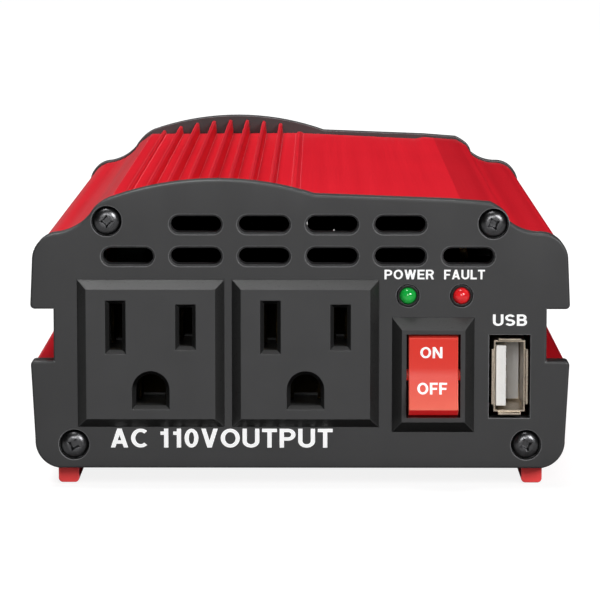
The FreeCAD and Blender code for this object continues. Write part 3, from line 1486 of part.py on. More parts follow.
def outlet_wires(kind, offset, landing_y):
    wires = []
    for x in (d.outlet_left_x, d.outlet_right_x):
        cx, cz, _ = contact_places(x)[kind]
        start = outlet_back + 4.75
        wires.append(cable(
            0.9,
            (cx, start, cz), (cx, start + 1.8, cz - 0.4),
            (cx + offset, landing_y - 3.0, board_top + 3.5), (cx + offset, landing_y, board_top + 0.95),
        ))
    return part(f"outlet_{kind}_wires", group(*wires))


def switch_wires():
    wires = []
    for drop, landing_x in ((0.0, 3.0), (0.8 - d.lever_half_height, -3.0)):
        wires.append(cable(
            0.7,
            (d.switch_x, switch_back + 7.72, d.switch_z + drop),
            (d.switch_x + landing_x / 2, switch_back + 8.6, d.switch_z + drop - 1.2),
            (d.switch_x + landing_x, d.board_front_y + 1.5, board_top + 0.75),
        ))
    return part("switch_wires", group(*wires))


battery_cable("positive_wire", d.post_positive_x, as_size(36.0))
battery_cable("negative_wire", d.post_negative_x, as_size(12.0))
outlet_wires("neutral", 0.0, d.board_front_y + 4.0)
outlet_wires("line", 0.0, d.board_front_y + 4.0)
outlet_wires("ground", 0.0, d.board_front_y + 3.0)
switch_wires()

# ---------------------------------------------------------------------------------------------
# Check and write
# ---------------------------------------------------------------------------------------------


def bad_shape(shape):
    return shape.isNull() or not shape.isValid() or not shape.Solids


doc.recompute()
faults = [f"{obj.Name} is {obj.State}" for obj in doc.Objects if {"Invalid", "Error"} & set(obj.State)]
faults += [f"{name} has no valid shape" for name, obj in parts.items() if bad_shape(obj.Shape)]
if faults:
    raise RuntimeError("; ".join(faults))
os.makedirs("parts", exist_ok=True)
for name, obj in parts.items():
    obj.Shape.exportStep(f"parts/{name}.step")
    print(f"{name}: {len(obj.Shape.Solids)} solids, {obj.Shape.Volume:.1f} mm3")
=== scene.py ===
import json
import math

import bmesh
import bpy
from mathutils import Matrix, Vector
from mathutils.bvhtree import BVHTree

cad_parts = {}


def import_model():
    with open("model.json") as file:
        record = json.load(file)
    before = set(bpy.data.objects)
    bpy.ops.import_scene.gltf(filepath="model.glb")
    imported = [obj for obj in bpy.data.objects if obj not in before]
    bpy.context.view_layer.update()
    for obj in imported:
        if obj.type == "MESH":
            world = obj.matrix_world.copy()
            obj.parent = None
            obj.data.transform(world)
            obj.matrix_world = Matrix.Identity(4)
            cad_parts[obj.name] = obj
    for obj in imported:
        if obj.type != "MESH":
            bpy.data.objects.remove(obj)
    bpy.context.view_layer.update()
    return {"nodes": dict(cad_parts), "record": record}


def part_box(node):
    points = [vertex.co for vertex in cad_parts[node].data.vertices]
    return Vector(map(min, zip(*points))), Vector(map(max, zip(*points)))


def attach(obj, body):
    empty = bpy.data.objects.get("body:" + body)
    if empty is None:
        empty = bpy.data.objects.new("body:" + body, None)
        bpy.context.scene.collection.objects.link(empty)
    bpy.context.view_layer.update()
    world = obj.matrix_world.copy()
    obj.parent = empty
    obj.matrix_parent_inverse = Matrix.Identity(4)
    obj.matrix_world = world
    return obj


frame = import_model()
nodes = frame["nodes"]

# A 12 V to mains power inverter. Metres, in the CAD's frame: +Z up, the outlets look along -Y.

MM = 0.001
WHITE = (1.0, 1.0, 1.0)
RED = (0.66, 0.012, 0.024)
# The brighter red that faces looking along -Y are painted, as painted light.
RED_FRONT_LIT = (0.98, 0.08, 0.08)
# The pink that edges are painted, for scuffing and as a painted highlight.
RED_SCUFFED_AND_HIGHLIT = (1.0, 0.25, 0.3)
GREY = (0.032, 0.032, 0.033)
# The grey that bevels are painted where they face up, as painted light.
BEVEL_LIT_GREY = (0.055, 0.055, 0.055)
BLACK = (0.003, 0.003, 0.003)

# ---------------------------------------------------------------------------------------------
# Material building blocks
# ---------------------------------------------------------------------------------------------

NOISE_ROUGHNESS = 0.55

# How far an enclosed surface looks for the open room, and the shares of it that it sees when it is all
# black and when it has its own colour.
SHADE_REACH = 100.0 * MM
ALL_SHADE, NO_SHADE = 0.12, 0.5


class Surface:
    """A procedural material with a shader graph that is built up a step at a time.
    An enclosed one is for parts inside the case: it goes dark where hardly any light gets in."""

    def __init__(self, name, enclosed=False):
        self.enclosed = enclosed
        self.material = bpy.data.materials.new(name)
        self.material.use_nodes = True
        self.tree = self.material.node_tree
        self.shader = self.tree.nodes["Principled BSDF"]
        self.output = self.tree.nodes["Material Output"]
        self.position = self.millimetres()
        self.normal = None

    def node(self, kind, **settings):
        made = self.tree.nodes.new(f"ShaderNode{kind}")
        for name, value in settings.items():
            setattr(made, name, value)
        return made

    def link(self, source, target):
        self.tree.links.new(source, target)

    def feed(self, target, value):
        """Gives an input either a plain value or another node's output."""
        if isinstance(value, bpy.types.NodeSocket):
            self.link(value, target)
        else:
            target.default_value = value

    def millimetres(self):
        """The place on the piece in the object's own frame, in millimetres."""
        place = self.node("TexCoord").outputs["Object"]
        scale = self.node("VectorMath", operation="SCALE")
        self.link(place, scale.inputs[0])
        scale.inputs["Scale"].default_value = 1000.0
        return scale.outputs[0]

    def stretched(self, x, y, z):
        """The position with its axes scaled, so that a pattern is drawn out along one of them."""
        scale = self.node("VectorMath", operation="MULTIPLY")
        self.link(self.position, scale.inputs[0])
        scale.inputs[1].default_value = (x, y, z)
        return scale.outputs[0]

    def noise(self, size, detail=3.0, place=None):
        """Noise from 0 to 1 whose blotches are about size millimetres across."""
        made = self.node("TexNoise")
        self.link(place or self.position, made.inputs["Vector"])
        made.inputs["Scale"].default_value = 1.0 / size
        made.inputs["Detail"].default_value = detail
        made.inputs["Roughness"].default_value = NOISE_ROUGHNESS
        return made.outputs["Fac"]

    def math(self, operation, first, second=0.0, clamp=False):
        made = self.node("Math", operation=operation, use_clamp=clamp)
        self.feed(made.inputs[0], first)
        self.feed(made.inputs[1], second)
        return made.outputs[0]

    def between(self, value, low, high, to_low=0.0, to_high=1.0):
        """value from low..high, carried to to_low..to_high and clamped."""
        made = self.node("MapRange")
        self.feed(made.inputs["Value"], value)
        made.inputs["From Min"].default_value = low
        made.inputs["From Max"].default_value = high
        made.inputs["To Min"].default_value = to_low
        made.inputs["To Max"].default_value = to_high
        return made.outputs["Result"]

    def mix(self, factor, first, second):
        made = self.node("Mix", data_type="RGBA")
        self.feed(made.inputs["Factor"], factor)
        for socket, value in ((made.inputs["A"], first), (made.inputs["B"], second)):
            self.feed(socket, value if isinstance(value, bpy.types.NodeSocket) else (*value, 1.0))
        return made.outputs["Result"]

    def component(self, vector, name):
        """The X, Y or Z of a vector."""
        made = self.node("SeparateXYZ")
        self.link(vector, made.inputs[0])
        return made.outputs[name]

    def axis(self, name):
        """One coordinate of the position, in millimetres."""
        return self.component(self.position, name)

    def facing(self, name):
        """One coordinate of the direction that the surface faces."""
        return self.component(self.node("TexCoord").outputs["Normal"], name)

    def front_face(self):
        """A mask that is 1 on faces that look along -Y."""
        return self.between(self.facing("Y"), -0.97, -0.9, 1.0, 0.0)

    def edges(self, radius, gain=9.0):
        """A mask that is 1 along outer edges, where they are scuffed and where a highlight is painted. The
        shading gets its edges rounded by the same radius, in millimetres, once bump is called."""
        bevel = self.node("Bevel", samples=6)
        bevel.inputs["Radius"].default_value = radius * MM
        dot = self.node("VectorMath", operation="DOT_PRODUCT")
        self.link(bevel.outputs[0], dot.inputs[0])
        self.link(self.node("NewGeometry").outputs["Normal"], dot.inputs[1])
        lost = self.math("SUBTRACT", 1.0, dot.outputs["Value"])
        self.normal = bevel.outputs[0]
        return self.math("MULTIPLY", lost, gain, clamp=True)

    def bump(self, height, depth):
        """Relief whose height runs over depth millimetres, on top of any rounded edges."""
        made = self.node("Bump")
        made.inputs["Distance"].default_value = depth * MM
        self.feed(made.inputs["Height"], height)
        if self.normal is not None:
            self.link(self.normal, made.inputs["Normal"])
        self.link(made.outputs[0], self.shader.inputs["Normal"])

    def finish(self, **inputs):
        """Sets the shader's inputs, whose names have _ for a space, and gives the finished material."""
        for name, value in inputs.items():
            socket = self.shader.inputs[name.replace("_", " ")]
            if isinstance(value, tuple) and len(value) == 3 and socket.type == "RGBA":
                value = (*value, 1.0)
            self.feed(socket, value)
        if self.enclosed:
            self.sink_into_shade()
        return self.material

    def sink_into_shade(self):
        """Fades the surface to black by how little of the open room it sees."""
        open_room = self.node("AmbientOcclusion", samples=8)
        open_room.inputs["Distance"].default_value = SHADE_REACH
        black = self.node("BsdfDiffuse")
        black.inputs["Color"].default_value = (0.0, 0.0, 0.0, 1.0)
        blend = self.node("MixShader")
        self.link(self.between(open_room.outputs["AO"], ALL_SHADE, NO_SHADE), blend.inputs["Fac"])
        self.link(black.outputs[0], blend.inputs[1])
        self.link(self.shader.outputs[0], blend.inputs[2])
        self.link(blend.outputs[0], self.output.inputs["Surface"])


def shade(colour, factor):
    """A colour made darker or lighter by a factor."""
    return tuple(min(1.0, channel * factor) for channel in colour)


def moulded(name, colour, roughness, grain=0.28, depth=0.012, scuff_and_highlight_share=0.35, pale=3.5, enclosed=False):
    """Moulded plastic: a fine spark-eroded grain, faint handling marks and corners painted lighter, for
    scuffing and as a painted highlight. grain is the grain's width and depth its depth, in millimetres. The
    share before pale is how much of the corners' colour is pale times the plastic's own."""
    s = Surface(name, enclosed)
    scuffs_and_highlight = s.edges(0.3)
    fine = s.noise(grain, 2.0)
    cloudy = s.noise(14.0, 3.0)
    smear = s.noise(5.0, 4.0, s.stretched(1.0, 1.0, 0.35))
    base = s.mix(s.between(cloudy, 0.35, 0.65), shade(colour, 0.94), shade(colour, 1.06))
    base = s.mix(s.between(fine, 0.3, 0.7, 0.0, 0.25), base, shade(colour, 1.25))
    # Corners painted pale: scuffing and a painted highlight.
    base = s.mix(s.math("MULTIPLY", scuffs_and_highlight, scuff_and_highlight_share), base, shade(colour, pale))
    rough = s.between(smear, 0.3, 0.7, roughness - 0.06, roughness + 0.07)
    s.bump(fine, depth)
    return s.finish(Base_Color=base, Roughness=rough)


def bevelled(name, face):
    """A moulding with a grained face and polished bevels, which are painted darker as they turn to face
    down, as painted shade, and edges painted lighter for scuffing and as a painted highlight.
    """
    s = Surface(name)
    scuffs_and_highlight = s.edges(0.18, 7.0)
    front = s.front_face()
    fine = s.noise(0.2, 2.0)
    cloudy = s.noise(9.0, 3.0)
    grained = s.mix(s.between(cloudy, 0.35, 0.65), shade(face, 0.94), shade(face, 1.06))
    # Painted shade: bevels are painted black where they face down, grey where they face up.
    bevel = s.mix(s.between(s.facing("Z"), -0.25, 0.7), BLACK, BEVEL_LIT_GREY)
    base = s.mix(front, bevel, grained)
    # Edges painted paler: scuffing and a painted highlight.
    base = s.mix(s.math("MULTIPLY", scuffs_and_highlight, 0.7), base, shade(face, 2.6))
    rough = s.math("ADD", s.between(fine, 0.3, 0.7, -0.03, 0.04), s.between(front, 0.0, 1.0, 0.3, 0.5))
    s.bump(s.math("MULTIPLY", fine, front), 0.008)
    return s.finish(Base_Color=base, Roughness=rough, Specular_IOR_Level=0.5)


def red_extrusion():
    """Anodised extrusion: faint die lines along Y, a slightly uneven dye, edges painted paler for scuffing
    and as a painted highlight, faces that look along -Y painted brighter as painted light, and painted shade
    on the part of the deck that leans away to the right."""
    s = Surface("red_metal")
    scuffs_and_highlight = s.edges(0.3, 6.0)
    lines = s.noise(0.3, 2.0, s.stretched(1.0, 0.004, 1.0))
    broad = s.noise(2.4, 2.0, s.stretched(1.0, 0.01, 1.0))
    dye = s.noise(40.0, 2.0)
    base = s.mix(s.between(dye, 0.3, 0.7), shade(RED, 0.97), shade(RED, 1.03))
    base = s.mix(s.between(lines, 0.35, 0.7, 0.0, 0.12), base, shade(RED, 0.7))
    # Painted shade on the part of the deck that leans a little to the right.
    facet_shade = s.math("MULTIPLY", s.between(s.facing("X"), 0.045, 0.06), s.between(s.facing("Z"), 0.85, 0.95))
    base = s.mix(s.math("MULTIPLY", facet_shade, 0.32), base, shade(RED, 0.25))
    # Painted light: faces that look along -Y are painted brighter.
    base = s.mix(s.front_face(), base, RED_FRONT_LIT)
    # Edges painted pink: scuffing and a painted highlight.
    base = s.mix(s.math("MULTIPLY", scuffs_and_highlight, 0.8), base, RED_SCUFFED_AND_HIGHLIT)
    rough = s.between(broad, 0.3, 0.7, 0.3, 0.38)
    s.bump(lines, 0.004)
    return s.finish(Base_Color=base, Roughness=rough, Specular_IOR_Level=0.1)


def metal(name, colour, roughness, streak=(1.0, 1.0, 1.0), tarnish=0.5, enclosed=False):
    """Bare or plated metal with tarnish in patches, corners painted bright for scuffing and as painted
    glints, and a grain that is drawn out along an axis where streak is less than 1."""
    s = Surface(name, enclosed)
    scuffs_and_highlight = s.edges(0.12, 8.0)
    lines = s.noise(0.12, 3.0, s.stretched(*streak))
    patches = s.noise(1.8, 4.0)
    base = s.mix(s.between(patches, 0.4, 0.7, 0.0, tarnish), colour, shade(colour, 0.55))
    # Corners painted bright: scuffing and painted glints.
    base = s.mix(s.math("MULTIPLY", scuffs_and_highlight, 0.5), base, shade(colour, 1.5))
    rough = s.math("ADD", s.between(lines, 0.3, 0.7, -0.08, 0.1), roughness)
    s.bump(lines, 0.004)
    return s.finish(Base_Color=base, Roughness=rough, Metallic=1.0)


def rocker_plastic():
    """Red with painted light: a faint glow of its own though it is no lamp, a paler red painted towards its
    foot, and a painted shade of deep red underneath, where the glow is strongest.
    """
    deep, pale = (0.8, 0.045, 0.03), (0.88, 0.18, 0.12)
    # The painted shade underneath, and the pink of edges, for scuffing and a painted highlight.
    shaded_underside, scuffed_and_highlit = (0.6, 0.01, 0.012), (1.0, 0.4, 0.3)
    low, high = (corner.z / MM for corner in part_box("switch_rocker"))
    s = Surface("rocker_red")
    scuffs_and_highlight = s.edges(0.3, 5.0)
    fine = s.noise(0.5, 2.0)
    # Painted light: paler towards the foot.
    base = s.mix(s.between(s.axis("Z"), low, 0.4 * low + 0.6 * high), pale, deep)
    base = s.mix(s.between(s.noise(6.0), 0.3, 0.7, 0.0, 0.15), base, shade(deep, 0.8))
    # Painted shade where the rocker faces down.
    under = s.between(s.facing("Z"), -0.7, -0.4, 1.0, 0.0)
    base = s.mix(under, base, shaded_underside)
    # Edges painted pink: scuffing and a painted highlight.
    base = s.mix(s.math("MULTIPLY", scuffs_and_highlight, 0.2), base, scuffed_and_highlit)
    s.bump(fine, 0.004)
    return s.finish(
        Base_Color=base, Roughness=s.between(fine, 0.3, 0.7, 0.28, 0.36), Specular_IOR_Level=0.3,
        # Painted light: a glow of its own, strongest underneath.
        Emission_Color=base, Emission_Strength=s.between(under, 0.0, 1.0, 0.06, 0.4),
    )


def lamp_resin(name, colour):
    """Tinted clear resin with a faint glow from the lit chip inside, weaker towards its rim."""
    s = Surface(name)
    swirl = s.noise(1.2, 3.0)
    tint = s.mix(s.between(swirl, 0.3, 0.7), shade(colour, 0.8), shade(colour, 1.2))
    rim = s.node("LayerWeight")
    rim.inputs["Blend"].default_value = 0.35
    glow = s.between(rim.outputs["Facing"], 0.0, 1.0, 0.3, 0.045)
    s.bump(swirl, 0.003)
    return s.finish(
        Base_Color=tint, Roughness=0.12, Transmission_Weight=0.35, Emission_Color=tint,
        Emission_Strength=glow, Coat_Weight=0.6, Coat_Roughness=0.05,
    )


def circuit_board():
    """Green solder mask over copper tracks, with tinned pads."""
    mask, track, tin = (0.012, 0.12, 0.04), (0.02, 0.2, 0.07), (0.6, 0.6, 0.56)
    s = Surface("board_green", enclosed=True)
    cells = s.node("TexVoronoi", feature="DISTANCE_TO_EDGE", distance="CHEBYCHEV")
    s.link(s.position, cells.inputs["Vector"])
    cells.inputs["Scale"].default_value = 0.22
    tracks = s.between(cells.outputs["Distance"], 0.03, 0.05, 1.0, 0.0)
    dots = s.node("TexVoronoi")
    s.link(s.position, dots.inputs["Vector"])
    dots.inputs["Scale"].default_value = 0.3
    pads = s.between(dots.outputs["Distance"], 0.16, 0.2, 1.0, 0.0)
    base = s.mix(tracks, mask, track)
    base = s.mix(pads, base, tin)
    s.edges(0.2)
    s.bump(s.math("ADD", tracks, pads), 0.03)
    rough = s.between(s.noise(3.0), 0.3, 0.7, 0.28, 0.4)
    return s.finish(Base_Color=base, Roughness=rough, Metallic=s.math("MULTIPLY", pads, 0.9))


def wound(name, colour, pitch, roughness, metallic=0.0):
    """Close turns of wire or tape, one above another and pitch millimetres apart."""
    s = Surface(name, enclosed=True)
    turn = s.math("FRACT", s.math("DIVIDE", s.axis("Z"), pitch))
    profile = s.math("SINE", s.math("MULTIPLY", turn, math.pi))
    stray = s.noise(2.0, 3.0)
    # Painted shade: each turn is painted darker towards its edges, in the grooves between turns.
    base = s.mix(s.between(profile, 0.0, 0.6), shade(colour, 0.35), colour)
    base = s.mix(s.between(stray, 0.45, 0.75, 0.0, 0.4), base, shade(colour, 0.7))
    s.bump(profile, pitch * 0.4)
    return s.finish(Base_Color=base, Roughness=roughness, Metallic=metallic)


def capacitor_sleeve():
    """A dark blue shrunk sleeve with a pale stripe down one side, round a can with a bright top."""
    blue, pale, bright = (0.012, 0.02, 0.09), (0.5, 0.52, 0.55), (0.75, 0.75, 0.76)
    s = Surface("cap_sleeve", enclosed=True)
    top = s.between(s.facing("Z"), 0.8, 0.9)
    stripe = s.between(s.facing("X"), 0.93, 0.95)
    wrinkle = s.noise(1.2, 3.0, s.stretched(1.0, 1.0, 0.3))
    s.edges(0.4)
    base = s.mix(stripe, blue, pale)
    base = s.mix(top, base, bright)
    s.bump(wrinkle, 0.02)
    rough = s.between(wrinkle, 0.3, 0.7, 0.25, 0.4)
    return s.finish(Base_Color=base, Roughness=rough, Metallic=top)


def ceramic(name, colour):
    """Sintered ferrite: a sandy face with corners painted paler, as chips and as a painted highlight."""
    s = Surface(name, enclosed=True)
    scuffs_and_highlight = s.edges(0.3)
    fine = s.noise(0.25, 4.0)
    base = s.mix(s.between(s.noise(3.0, 4.0), 0.35, 0.7), shade(colour, 0.8), shade(colour, 1.3))
    # Corners painted paler: chips and a painted highlight.
    base = s.mix(s.math("MULTIPLY", scuffs_and_highlight, 0.6), base, shade(colour, 2.5))
    s.bump(fine, 0.02)
    return s.finish(Base_Color=base, Roughness=s.between(fine, 0.3, 0.7, 0.55, 0.75))


MATERIALS = {
    "red_metal": red_extrusion(),
    # The panel's edges are painted fully pale, eight times its grey: a painted highlight along its rims.
    "panel": moulded("panel", GREY, 0.5, grain=0.22, depth=0.008, scuff_and_highlight_share=1.0, pale=8.0),
    "black_plastic": bevelled("black_plastic", shade(GREY, 1.2)),
    "switch_black": bevelled("switch_black", shade(GREY, 1.1)),
    "rocker_red": rocker_plastic(),
    "screw_steel": metal("screw_steel", (0.15, 0.15, 0.155), 0.3, tarnish=0.6),
    "zinc_steel": metal("zinc_steel", (0.62, 0.63, 0.66), 0.3, enclosed=True),
    "contact_brass": metal("contact_brass", (0.78, 0.55, 0.22), 0.28, (1.0, 0.1, 1.0), enclosed=True),
    "tinned": metal("tinned", (0.72, 0.72, 0.70), 0.3, enclosed=True),
    "led_green": lamp_resin("led_green", (0.01, 0.42, 0.06)),
    "led_red": lamp_resin("led_red", (0.76, 0.02, 0.025)),
    "usb_steel": metal("usb_steel", (0.70, 0.60, 0.48), 0.3, (1.0, 0.15, 1.0)),
    "usb_white": moulded("usb_white", (0.85, 0.84, 0.82), 0.35, depth=0.004, scuff_and_highlight_share=0.0),
    "board_green": circuit_board(),
    "ferrite": ceramic("ferrite", (0.05, 0.05, 0.055)),
    "bobbin": moulded("bobbin", (0.05, 0.045, 0.04), 0.4, enclosed=True),
    "copper": wound("copper", (0.75, 0.25, 0.09), 0.9, 0.25, 0.9),
    "tape": wound("tape", (0.85, 0.62, 0.08), 6.0, 0.3),
    "cap_sleeve": capacitor_sleeve(),
    "epoxy": moulded("epoxy", (0.02, 0.02, 0.021), 0.55, depth=0.02, enclosed=True),
    "pad_grey": moulded("pad_grey", (0.3, 0.32, 0.34), 0.8, depth=0.03, enclosed=True),
    "bare_aluminium": metal("bare_aluminium", (0.75, 0.75, 0.77), 0.35, (1.0, 0.03, 1.0), enclosed=True),
    "fuse_orange": moulded("fuse_orange", (0.8, 0.2, 0.01), 0.25, depth=0.003, enclosed=True),
    "red_cap": moulded("red_cap", (0.55, 0.012, 0.012), 0.25, depth=0.004),
    "black_cap": moulded("black_cap", (0.02, 0.02, 0.02), 0.25, depth=0.004),
    "brass_post": metal("brass_post", (0.8, 0.58, 0.25), 0.25),
    "wire_red": moulded("wire_red", (0.6, 0.01, 0.01), 0.35, depth=0.006, enclosed=True),
    "wire_black": moulded("wire_black", (0.015, 0.015, 0.015), 0.35, depth=0.006, enclosed=True),
    "wire_white": moulded("wire_white", (0.75, 0.75, 0.73), 0.35, depth=0.006, enclosed=True),
    "wire_green": moulded("wire_green", (0.02, 0.3, 0.05), 0.35, depth=0.006, enclosed=True),
}

# Nodes whose finish differs from the rest of their slot.
FINISHES = {"led_rings": moulded("ring_black", BLACK, 0.3, depth=0.004, scuff_and_highlight_share=0.0)}

# ---------------------------------------------------------------------------------------------
# CAD nodes: each takes its slot's material, smooth round faces and crisp edges
# ---------------------------------------------------------------------------------------------

CREASE = math.radians(30.0)
WELD_GAP = 0.002 * MM


def smooth_node(obj):
    """Joins the split faces of an imported node, then shades smooth what turns by less than a crease."""
    normals = obj.data.attributes.get("custom_normal")
    if normals is not None:
        obj.data.attributes.remove(normals)
    obj.data.shade_smooth()
    weld = obj.modifiers.new("Weld", "WELD")
    weld.merge_threshold = WELD_GAP
    split = obj.modifiers.new("EdgeSplit", "EDGE_SPLIT")
    split.split_angle = CREASE


SLOTS = {entry["node"]: entry["material_slot"] for entry in frame["record"]["subparts"]}

for name, obj in nodes.items():
    obj.data.materials.clear()
    obj.data.materials.append(FINISHES.get(name, MATERIALS[SLOTS[name]]))
    smooth_node(obj)

# ---------------------------------------------------------------------------------------------
# Printed labels: generic words only
# ---------------------------------------------------------------------------------------------


def white_ink():
    """Screen-printed ink: nearly flat and slightly mottled, with a faint glow that keeps it white."""
    bright = shade(WHITE, 0.98)
    s = Surface("white_ink")
    fine = s.noise(0.15, 3.0)
    base = s.mix(s.between(fine, 0.3, 0.7), shade(bright, 0.92), bright)
    s.bump(fine, 0.005)
    return s.finish(
        Base_Color=base, Roughness=s.between(fine, 0.3, 0.7, 0.4, 0.55),
        Emission_Color=base, Emission_Strength=0.2,
    )


WHITE_INK = white_ink()
INK_DEPTH = 0.02 * MM
LAYER = 0.0005 * MM

# A plain bold alphabet on a cap height of 1. Each letter is a width and the strokes it is made of. A
# stroke is a row of point pairs, one on either side of it.
STROKE = 0.18
HALF = STROKE / 2
BOW_STEPS = 24


def slant(x0, y0, x1, y1):
    """A straight stroke whose two ends are cut level."""
    reach = HALF * math.hypot(x1 - x0, y1 - y0) / abs(y1 - y0)
    return [((x - reach, y), (x + reach, y)) for x, y in ((x0, y0), (x1, y1))]


def stem(x, low=0.0):
    """An upright stroke up to the top of a capital."""
    return slant(x, low, x, 1.0)


def level(x0, x1, y):
    """A level stroke."""
    return [((x, y - HALF), (x, y + HALF)) for x in (x0, x1)]


def bow(x, y, rx, ry, start, end):
    """Part of an oval ring, from start to end in degrees."""
    pairs = []
    for i in range(BOW_STEPS + 1):
        angle = math.radians(start + (end - start) * i / BOW_STEPS)
        across, up = math.cos(angle), math.sin(angle)
        pairs.append([(x + (rx + side) * across, y + (ry + side) * up) for side in (-HALF, HALF)])
    return pairs


def oval(width):
    """A closed ring as tall as a capital."""
    return [bow(width / 2, 0.5, width / 2 - HALF, 0.5 - HALF, 0, 360)]


def bowl(low, high, width):
    """The round part of a P, R or B, between two heights."""
    turn = (high - low) / 2
    side = width - HALF - turn
    return [level(HALF, side, low), level(HALF, side, high), bow(side, low + turn, turn, turn, -90, 90)]


TOP = 1.0 - HALF
LETTERS = {
    "A": (0.74, [slant(0.1, 0.0, 0.37, 1.0), slant(0.64, 0.0, 0.37, 1.0), level(0.2, 0.54, 0.29)]),
    "B": (0.68, [stem(HALF), *bowl(0.52, TOP, 0.64), *bowl(HALF, 0.52, 0.68)]),
    "C": (0.74, [bow(0.4, 0.5, 0.4 - HALF, 0.5 - HALF, 48, 312)]),
    "E": (0.6, [stem(HALF), level(0.0, 0.6, HALF), level(0.0, 0.55, 0.51), level(0.0, 0.6, TOP)]),
    "F": (0.57, [stem(HALF), level(0.0, 0.52, 0.48), level(0.0, 0.57, TOP)]),
    "L": (0.55, [stem(HALF), level(0.0, 0.55, HALF)]),
    "N": (0.72, [stem(HALF), stem(0.72 - HALF), slant(HALF, 1.0, 0.72 - HALF, 0.0)]),
    "O": (0.8, oval(0.8)),
    "P": (0.66, [stem(HALF), *bowl(0.46, TOP, 0.66)]),
    "R": (0.7, [stem(HALF), *bowl(0.49, TOP, 0.67), slant(0.42, 0.49, 0.58, 0.0)]),
    "S": (0.66, [bow(0.33, 0.7, 0.24, 0.21, 25, 270), bow(0.33, 0.29, 0.24, 0.2, -155, 90)]),
    "T": (0.62, [stem(0.31), level(0.0, 0.62, TOP)]),
    "U": (0.7, [
        stem(HALF, 0.35), stem(0.7 - HALF, 0.35), bow(0.35, 0.35, 0.35 - HALF, 0.35 - HALF, 180, 360),
    ]),
    "V": (0.7, [slant(0.1, 1.0, 0.35, 0.0), slant(0.6, 1.0, 0.35, 0.0)]),
    "W": (1.0, [
        slant(0.1, 1.0, 0.29, 0.0), slant(0.5, 1.0, 0.29, 0.0),
        slant(0.5, 1.0, 0.71, 0.0), slant(0.9, 1.0, 0.71, 0.0),
    ]),
    "0": (0.58, oval(0.58)),
    "1": (0.42, [stem(0.3), level(0.06, 0.3, 0.76)]),
    " ": (0.2, []),
}
LETTER_GAP = 0.11


def strokes_of(words):
    """The strokes of a line of words, and its whole width."""
    pen = 0.0
    strokes = []
    for character in words:
        width, shapes = LETTERS[character]
        for shape in shapes:
            strokes.append([[(pen + x, y) for x, y in pair] for pair in shape])
        pen += width + LETTER_GAP
    return strokes, pen - LETTER_GAP


def spot(node, height, x, z):
    """The x and z, in metres, that lie x and z millimetres from a node's middle at a share of its height."""
    low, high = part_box(node)
    return (low.x + high.x) / 2 + x * MM, low.z + (high.z - low.z) * height + z * MM


def label(name, words, base, width, cap_height, node, body):
    """Words printed on the front of a node. base is the middle of the line they stand on, and the sizes
    are in millimetres. Each stroke lies a hair in front of the last, so that none share a plane."""
    x, z = base
    mesh = nodes[node].data
    printed_on = BVHTree.FromPolygons([v.co for v in mesh.vertices], [p.vertices for p in mesh.polygons])
    strokes, full_width = strokes_of(words)
    form = bmesh.new()

    def corner(u, v, thickness):
        """A corner of a stroke, found by looking along +Y onto the node."""
        start = Vector((x + (u / full_width - 0.5) * width * MM, -1.0, z + v * cap_height * MM))
        hit = printed_on.ray_cast(start, Vector((0.0, 1.0, 0.0)))[0]
        return form.verts.new(hit - Vector((0.0, thickness, 0.0)))

    for i, stroke in enumerate(strokes):
        pairs = [[corner(u, v, INK_DEPTH + i * LAYER) for u, v in pair] for pair in stroke]
        for (a, b), (c, d) in zip(pairs, pairs[1:]):
            form.faces.new((a, b, d, c))
    form.normal_update()
    bmesh.ops.reverse_faces(form, faces=[face for face in form.faces if face.normal.y > 0])
    made = bpy.data.meshes.new(name)
    form.to_mesh(made)
    form.free()
    obj = bpy.data.objects.new(name, made)
    bpy.context.scene.collection.objects.link(obj)
    made.materials.append(WHITE_INK)
    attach(obj, body)


# What a label is printed on, as a node and its body, and shares of a node's height.
PANEL = ("front_panel", "inverter")
ROCKER = ("switch_rocker", "switch_rocker")
FOOT, MIDDLE, HEAD = 0.0, 0.5, 1.0

label("label_power", "POWER", spot("power_led", HEAD, 0.2, 1.2), 9.0, 1.75, *PANEL)
label("label_fault", "FAULT", spot("fault_led", HEAD, 0.5, 1.2), 7.4, 1.75, *PANEL)
label("label_usb", "USB", spot("usb_shell", HEAD, 0.0, 2.3), 6.2, 2.1, *PANEL)
label("label_output", "AC 110VOUTPUT", spot("outlet_left", FOOT, 12.8, -3.8), 40.5, 3.5, *PANEL)
label("label_on", "ON", spot("switch_rocker", MIDDLE, -0.4, 3.35), 4.0, 2.05, *ROCKER)
label("label_off", "OFF", spot("switch_rocker", MIDDLE, -0.25, -3.1), 5.4, 2.05, *ROCKER)

# ---------------------------------------------------------------------------------------------
# Floor, light and camera
# ---------------------------------------------------------------------------------------------

panel_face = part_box("front_panel")[0].y

# Metres, beside or in front of the middle of the front panel's face, or above the floor. The lens is in
# millimetres.
CAMERA_BESIDE, CAMERA_AHEAD, CAMERA_HEIGHT = 0.0034, 0.590, 0.110
AIM_HEIGHT = 0.0343
LENS = 196.8

FLOOR_SIZE = 6.0
FLOOR_DROP = 0.0002


def camera_ray(tree):
    """1 for what the camera sees directly, and 0 for the light that falls on other things."""
    return tree.nodes.new("ShaderNodeLightPath").outputs["Is Camera Ray"]


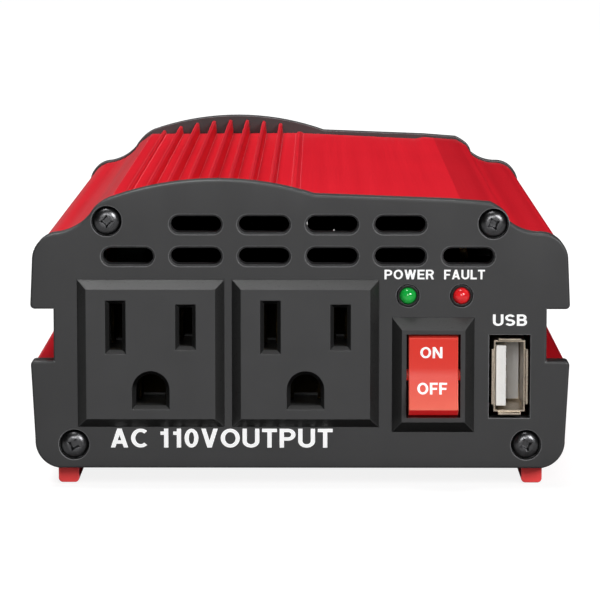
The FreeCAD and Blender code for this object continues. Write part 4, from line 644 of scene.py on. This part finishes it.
def floor():
    """A pale sheet, a hair below the feet. It glows, fully white further off, to the camera only, so that
    it doesn't fill the object's undersides."""
    mesh = bpy.data.meshes.new("floor")
    form = bmesh.new()
    bmesh.ops.create_grid(form, x_segments=1, y_segments=1, size=FLOOR_SIZE)
    form.to_mesh(mesh)
    form.free()
    obj = bpy.data.objects.new("floor", mesh)
    obj.location = (0.0, 0.0, -FLOOR_DROP)
    bpy.context.scene.collection.objects.link(obj)
    s = Surface("floor")
    distance = s.node("VectorMath", operation="LENGTH")
    s.link(s.position, distance.inputs[0])
    white = s.between(distance.outputs["Value"], 150.0, 600.0, 0.86, 1.0)
    glow = s.math("MULTIPLY", white, camera_ray(s.tree))
    paper = s.mix(s.between(s.noise(300.0), 0.3, 0.7), (0.25, 0.25, 0.25), (0.27, 0.27, 0.27))
    obj.data.materials.append(s.finish(
        Base_Color=paper, Roughness=0.9, Specular_IOR_Level=0.0,
        Emission_Color=WHITE, Emission_Strength=glow,
    ))


def aim(obj, location, target):
    """Puts a light or a camera in its place and turns it to the target."""
    obj.location = location
    obj.rotation_euler = (Vector(target) - Vector(location)).to_track_quat("-Z", "Y").to_euler()


def area_light(name, location, target, size, power):
    """A soft box, in metres and watts, that the camera doesn't see."""
    light = bpy.data.lights.new(name, "AREA")
    light.shape = "RECTANGLE"
    light.size, light.size_y = size
    light.energy = power
    obj = bpy.data.objects.new(name, light)
    bpy.context.scene.collection.objects.link(obj)
    aim(obj, location, target)
    obj.visible_camera = False


def world():
    """White to the camera. The light it gives comes from overhead and fades towards the horizon."""
    overhead, horizon, horizon_height = 0.45, 0.03, 0.1
    made = bpy.data.worlds.new("studio")
    made.use_nodes = True
    tree = made.node_tree
    up = tree.nodes.new("ShaderNodeSeparateXYZ")
    tree.links.new(tree.nodes.new("ShaderNodeTexCoord").outputs["Generated"], up.inputs[0])
    fade = tree.nodes.new("ShaderNodeMapRange")
    tree.links.new(up.outputs["Z"], fade.inputs["Value"])
    fade.inputs["From Min"].default_value = horizon_height
    fade.inputs["To Min"].default_value = horizon
    fade.inputs["To Max"].default_value = overhead
    seen = tree.nodes.new("ShaderNodeMix")
    tree.links.new(camera_ray(tree), seen.inputs["Factor"])
    tree.links.new(fade.outputs["Result"], seen.inputs["A"])
    seen.inputs["B"].default_value = 1.0
    tree.links.new(seen.outputs["Result"], tree.nodes["Background"].inputs["Strength"])
    bpy.context.scene.world = made


def camera():
    """A long lens in front of the object, slightly to its right and looking slightly down."""
    lens = bpy.data.cameras.new("camera")
    lens.sensor_width = 36.0
    lens.lens = LENS
    lens.clip_start = 0.01
    obj = bpy.data.objects.new("camera", lens)
    bpy.context.scene.collection.objects.link(obj)
    location = (CAMERA_BESIDE, panel_face - CAMERA_AHEAD, CAMERA_HEIGHT)
    aim(obj, location, (0.0, panel_face, AIM_HEIGHT))
    bpy.context.scene.camera = obj


floor()
world()
area_light("top", (-0.15, 0.1, 0.85), (0.0, 0.0, 0.05), (0.5, 0.5), 8.3)
area_light("key", (0.45, -0.75, 0.45), (0.0, 0.0, 0.03), (0.3, 0.3), 5.0)
area_light("fill", (-0.1, -1.2, 0.35), (0.0, 0.0, 0.03), (0.4, 0.4), 3.5)
area_light("card", (-0.45, 1.6, 0.25), (0.0, 0.0, 0.05), (0.35, 0.5), 0.15)
camera()
bpy.context.scene.view_settings.view_transform = "Standard"
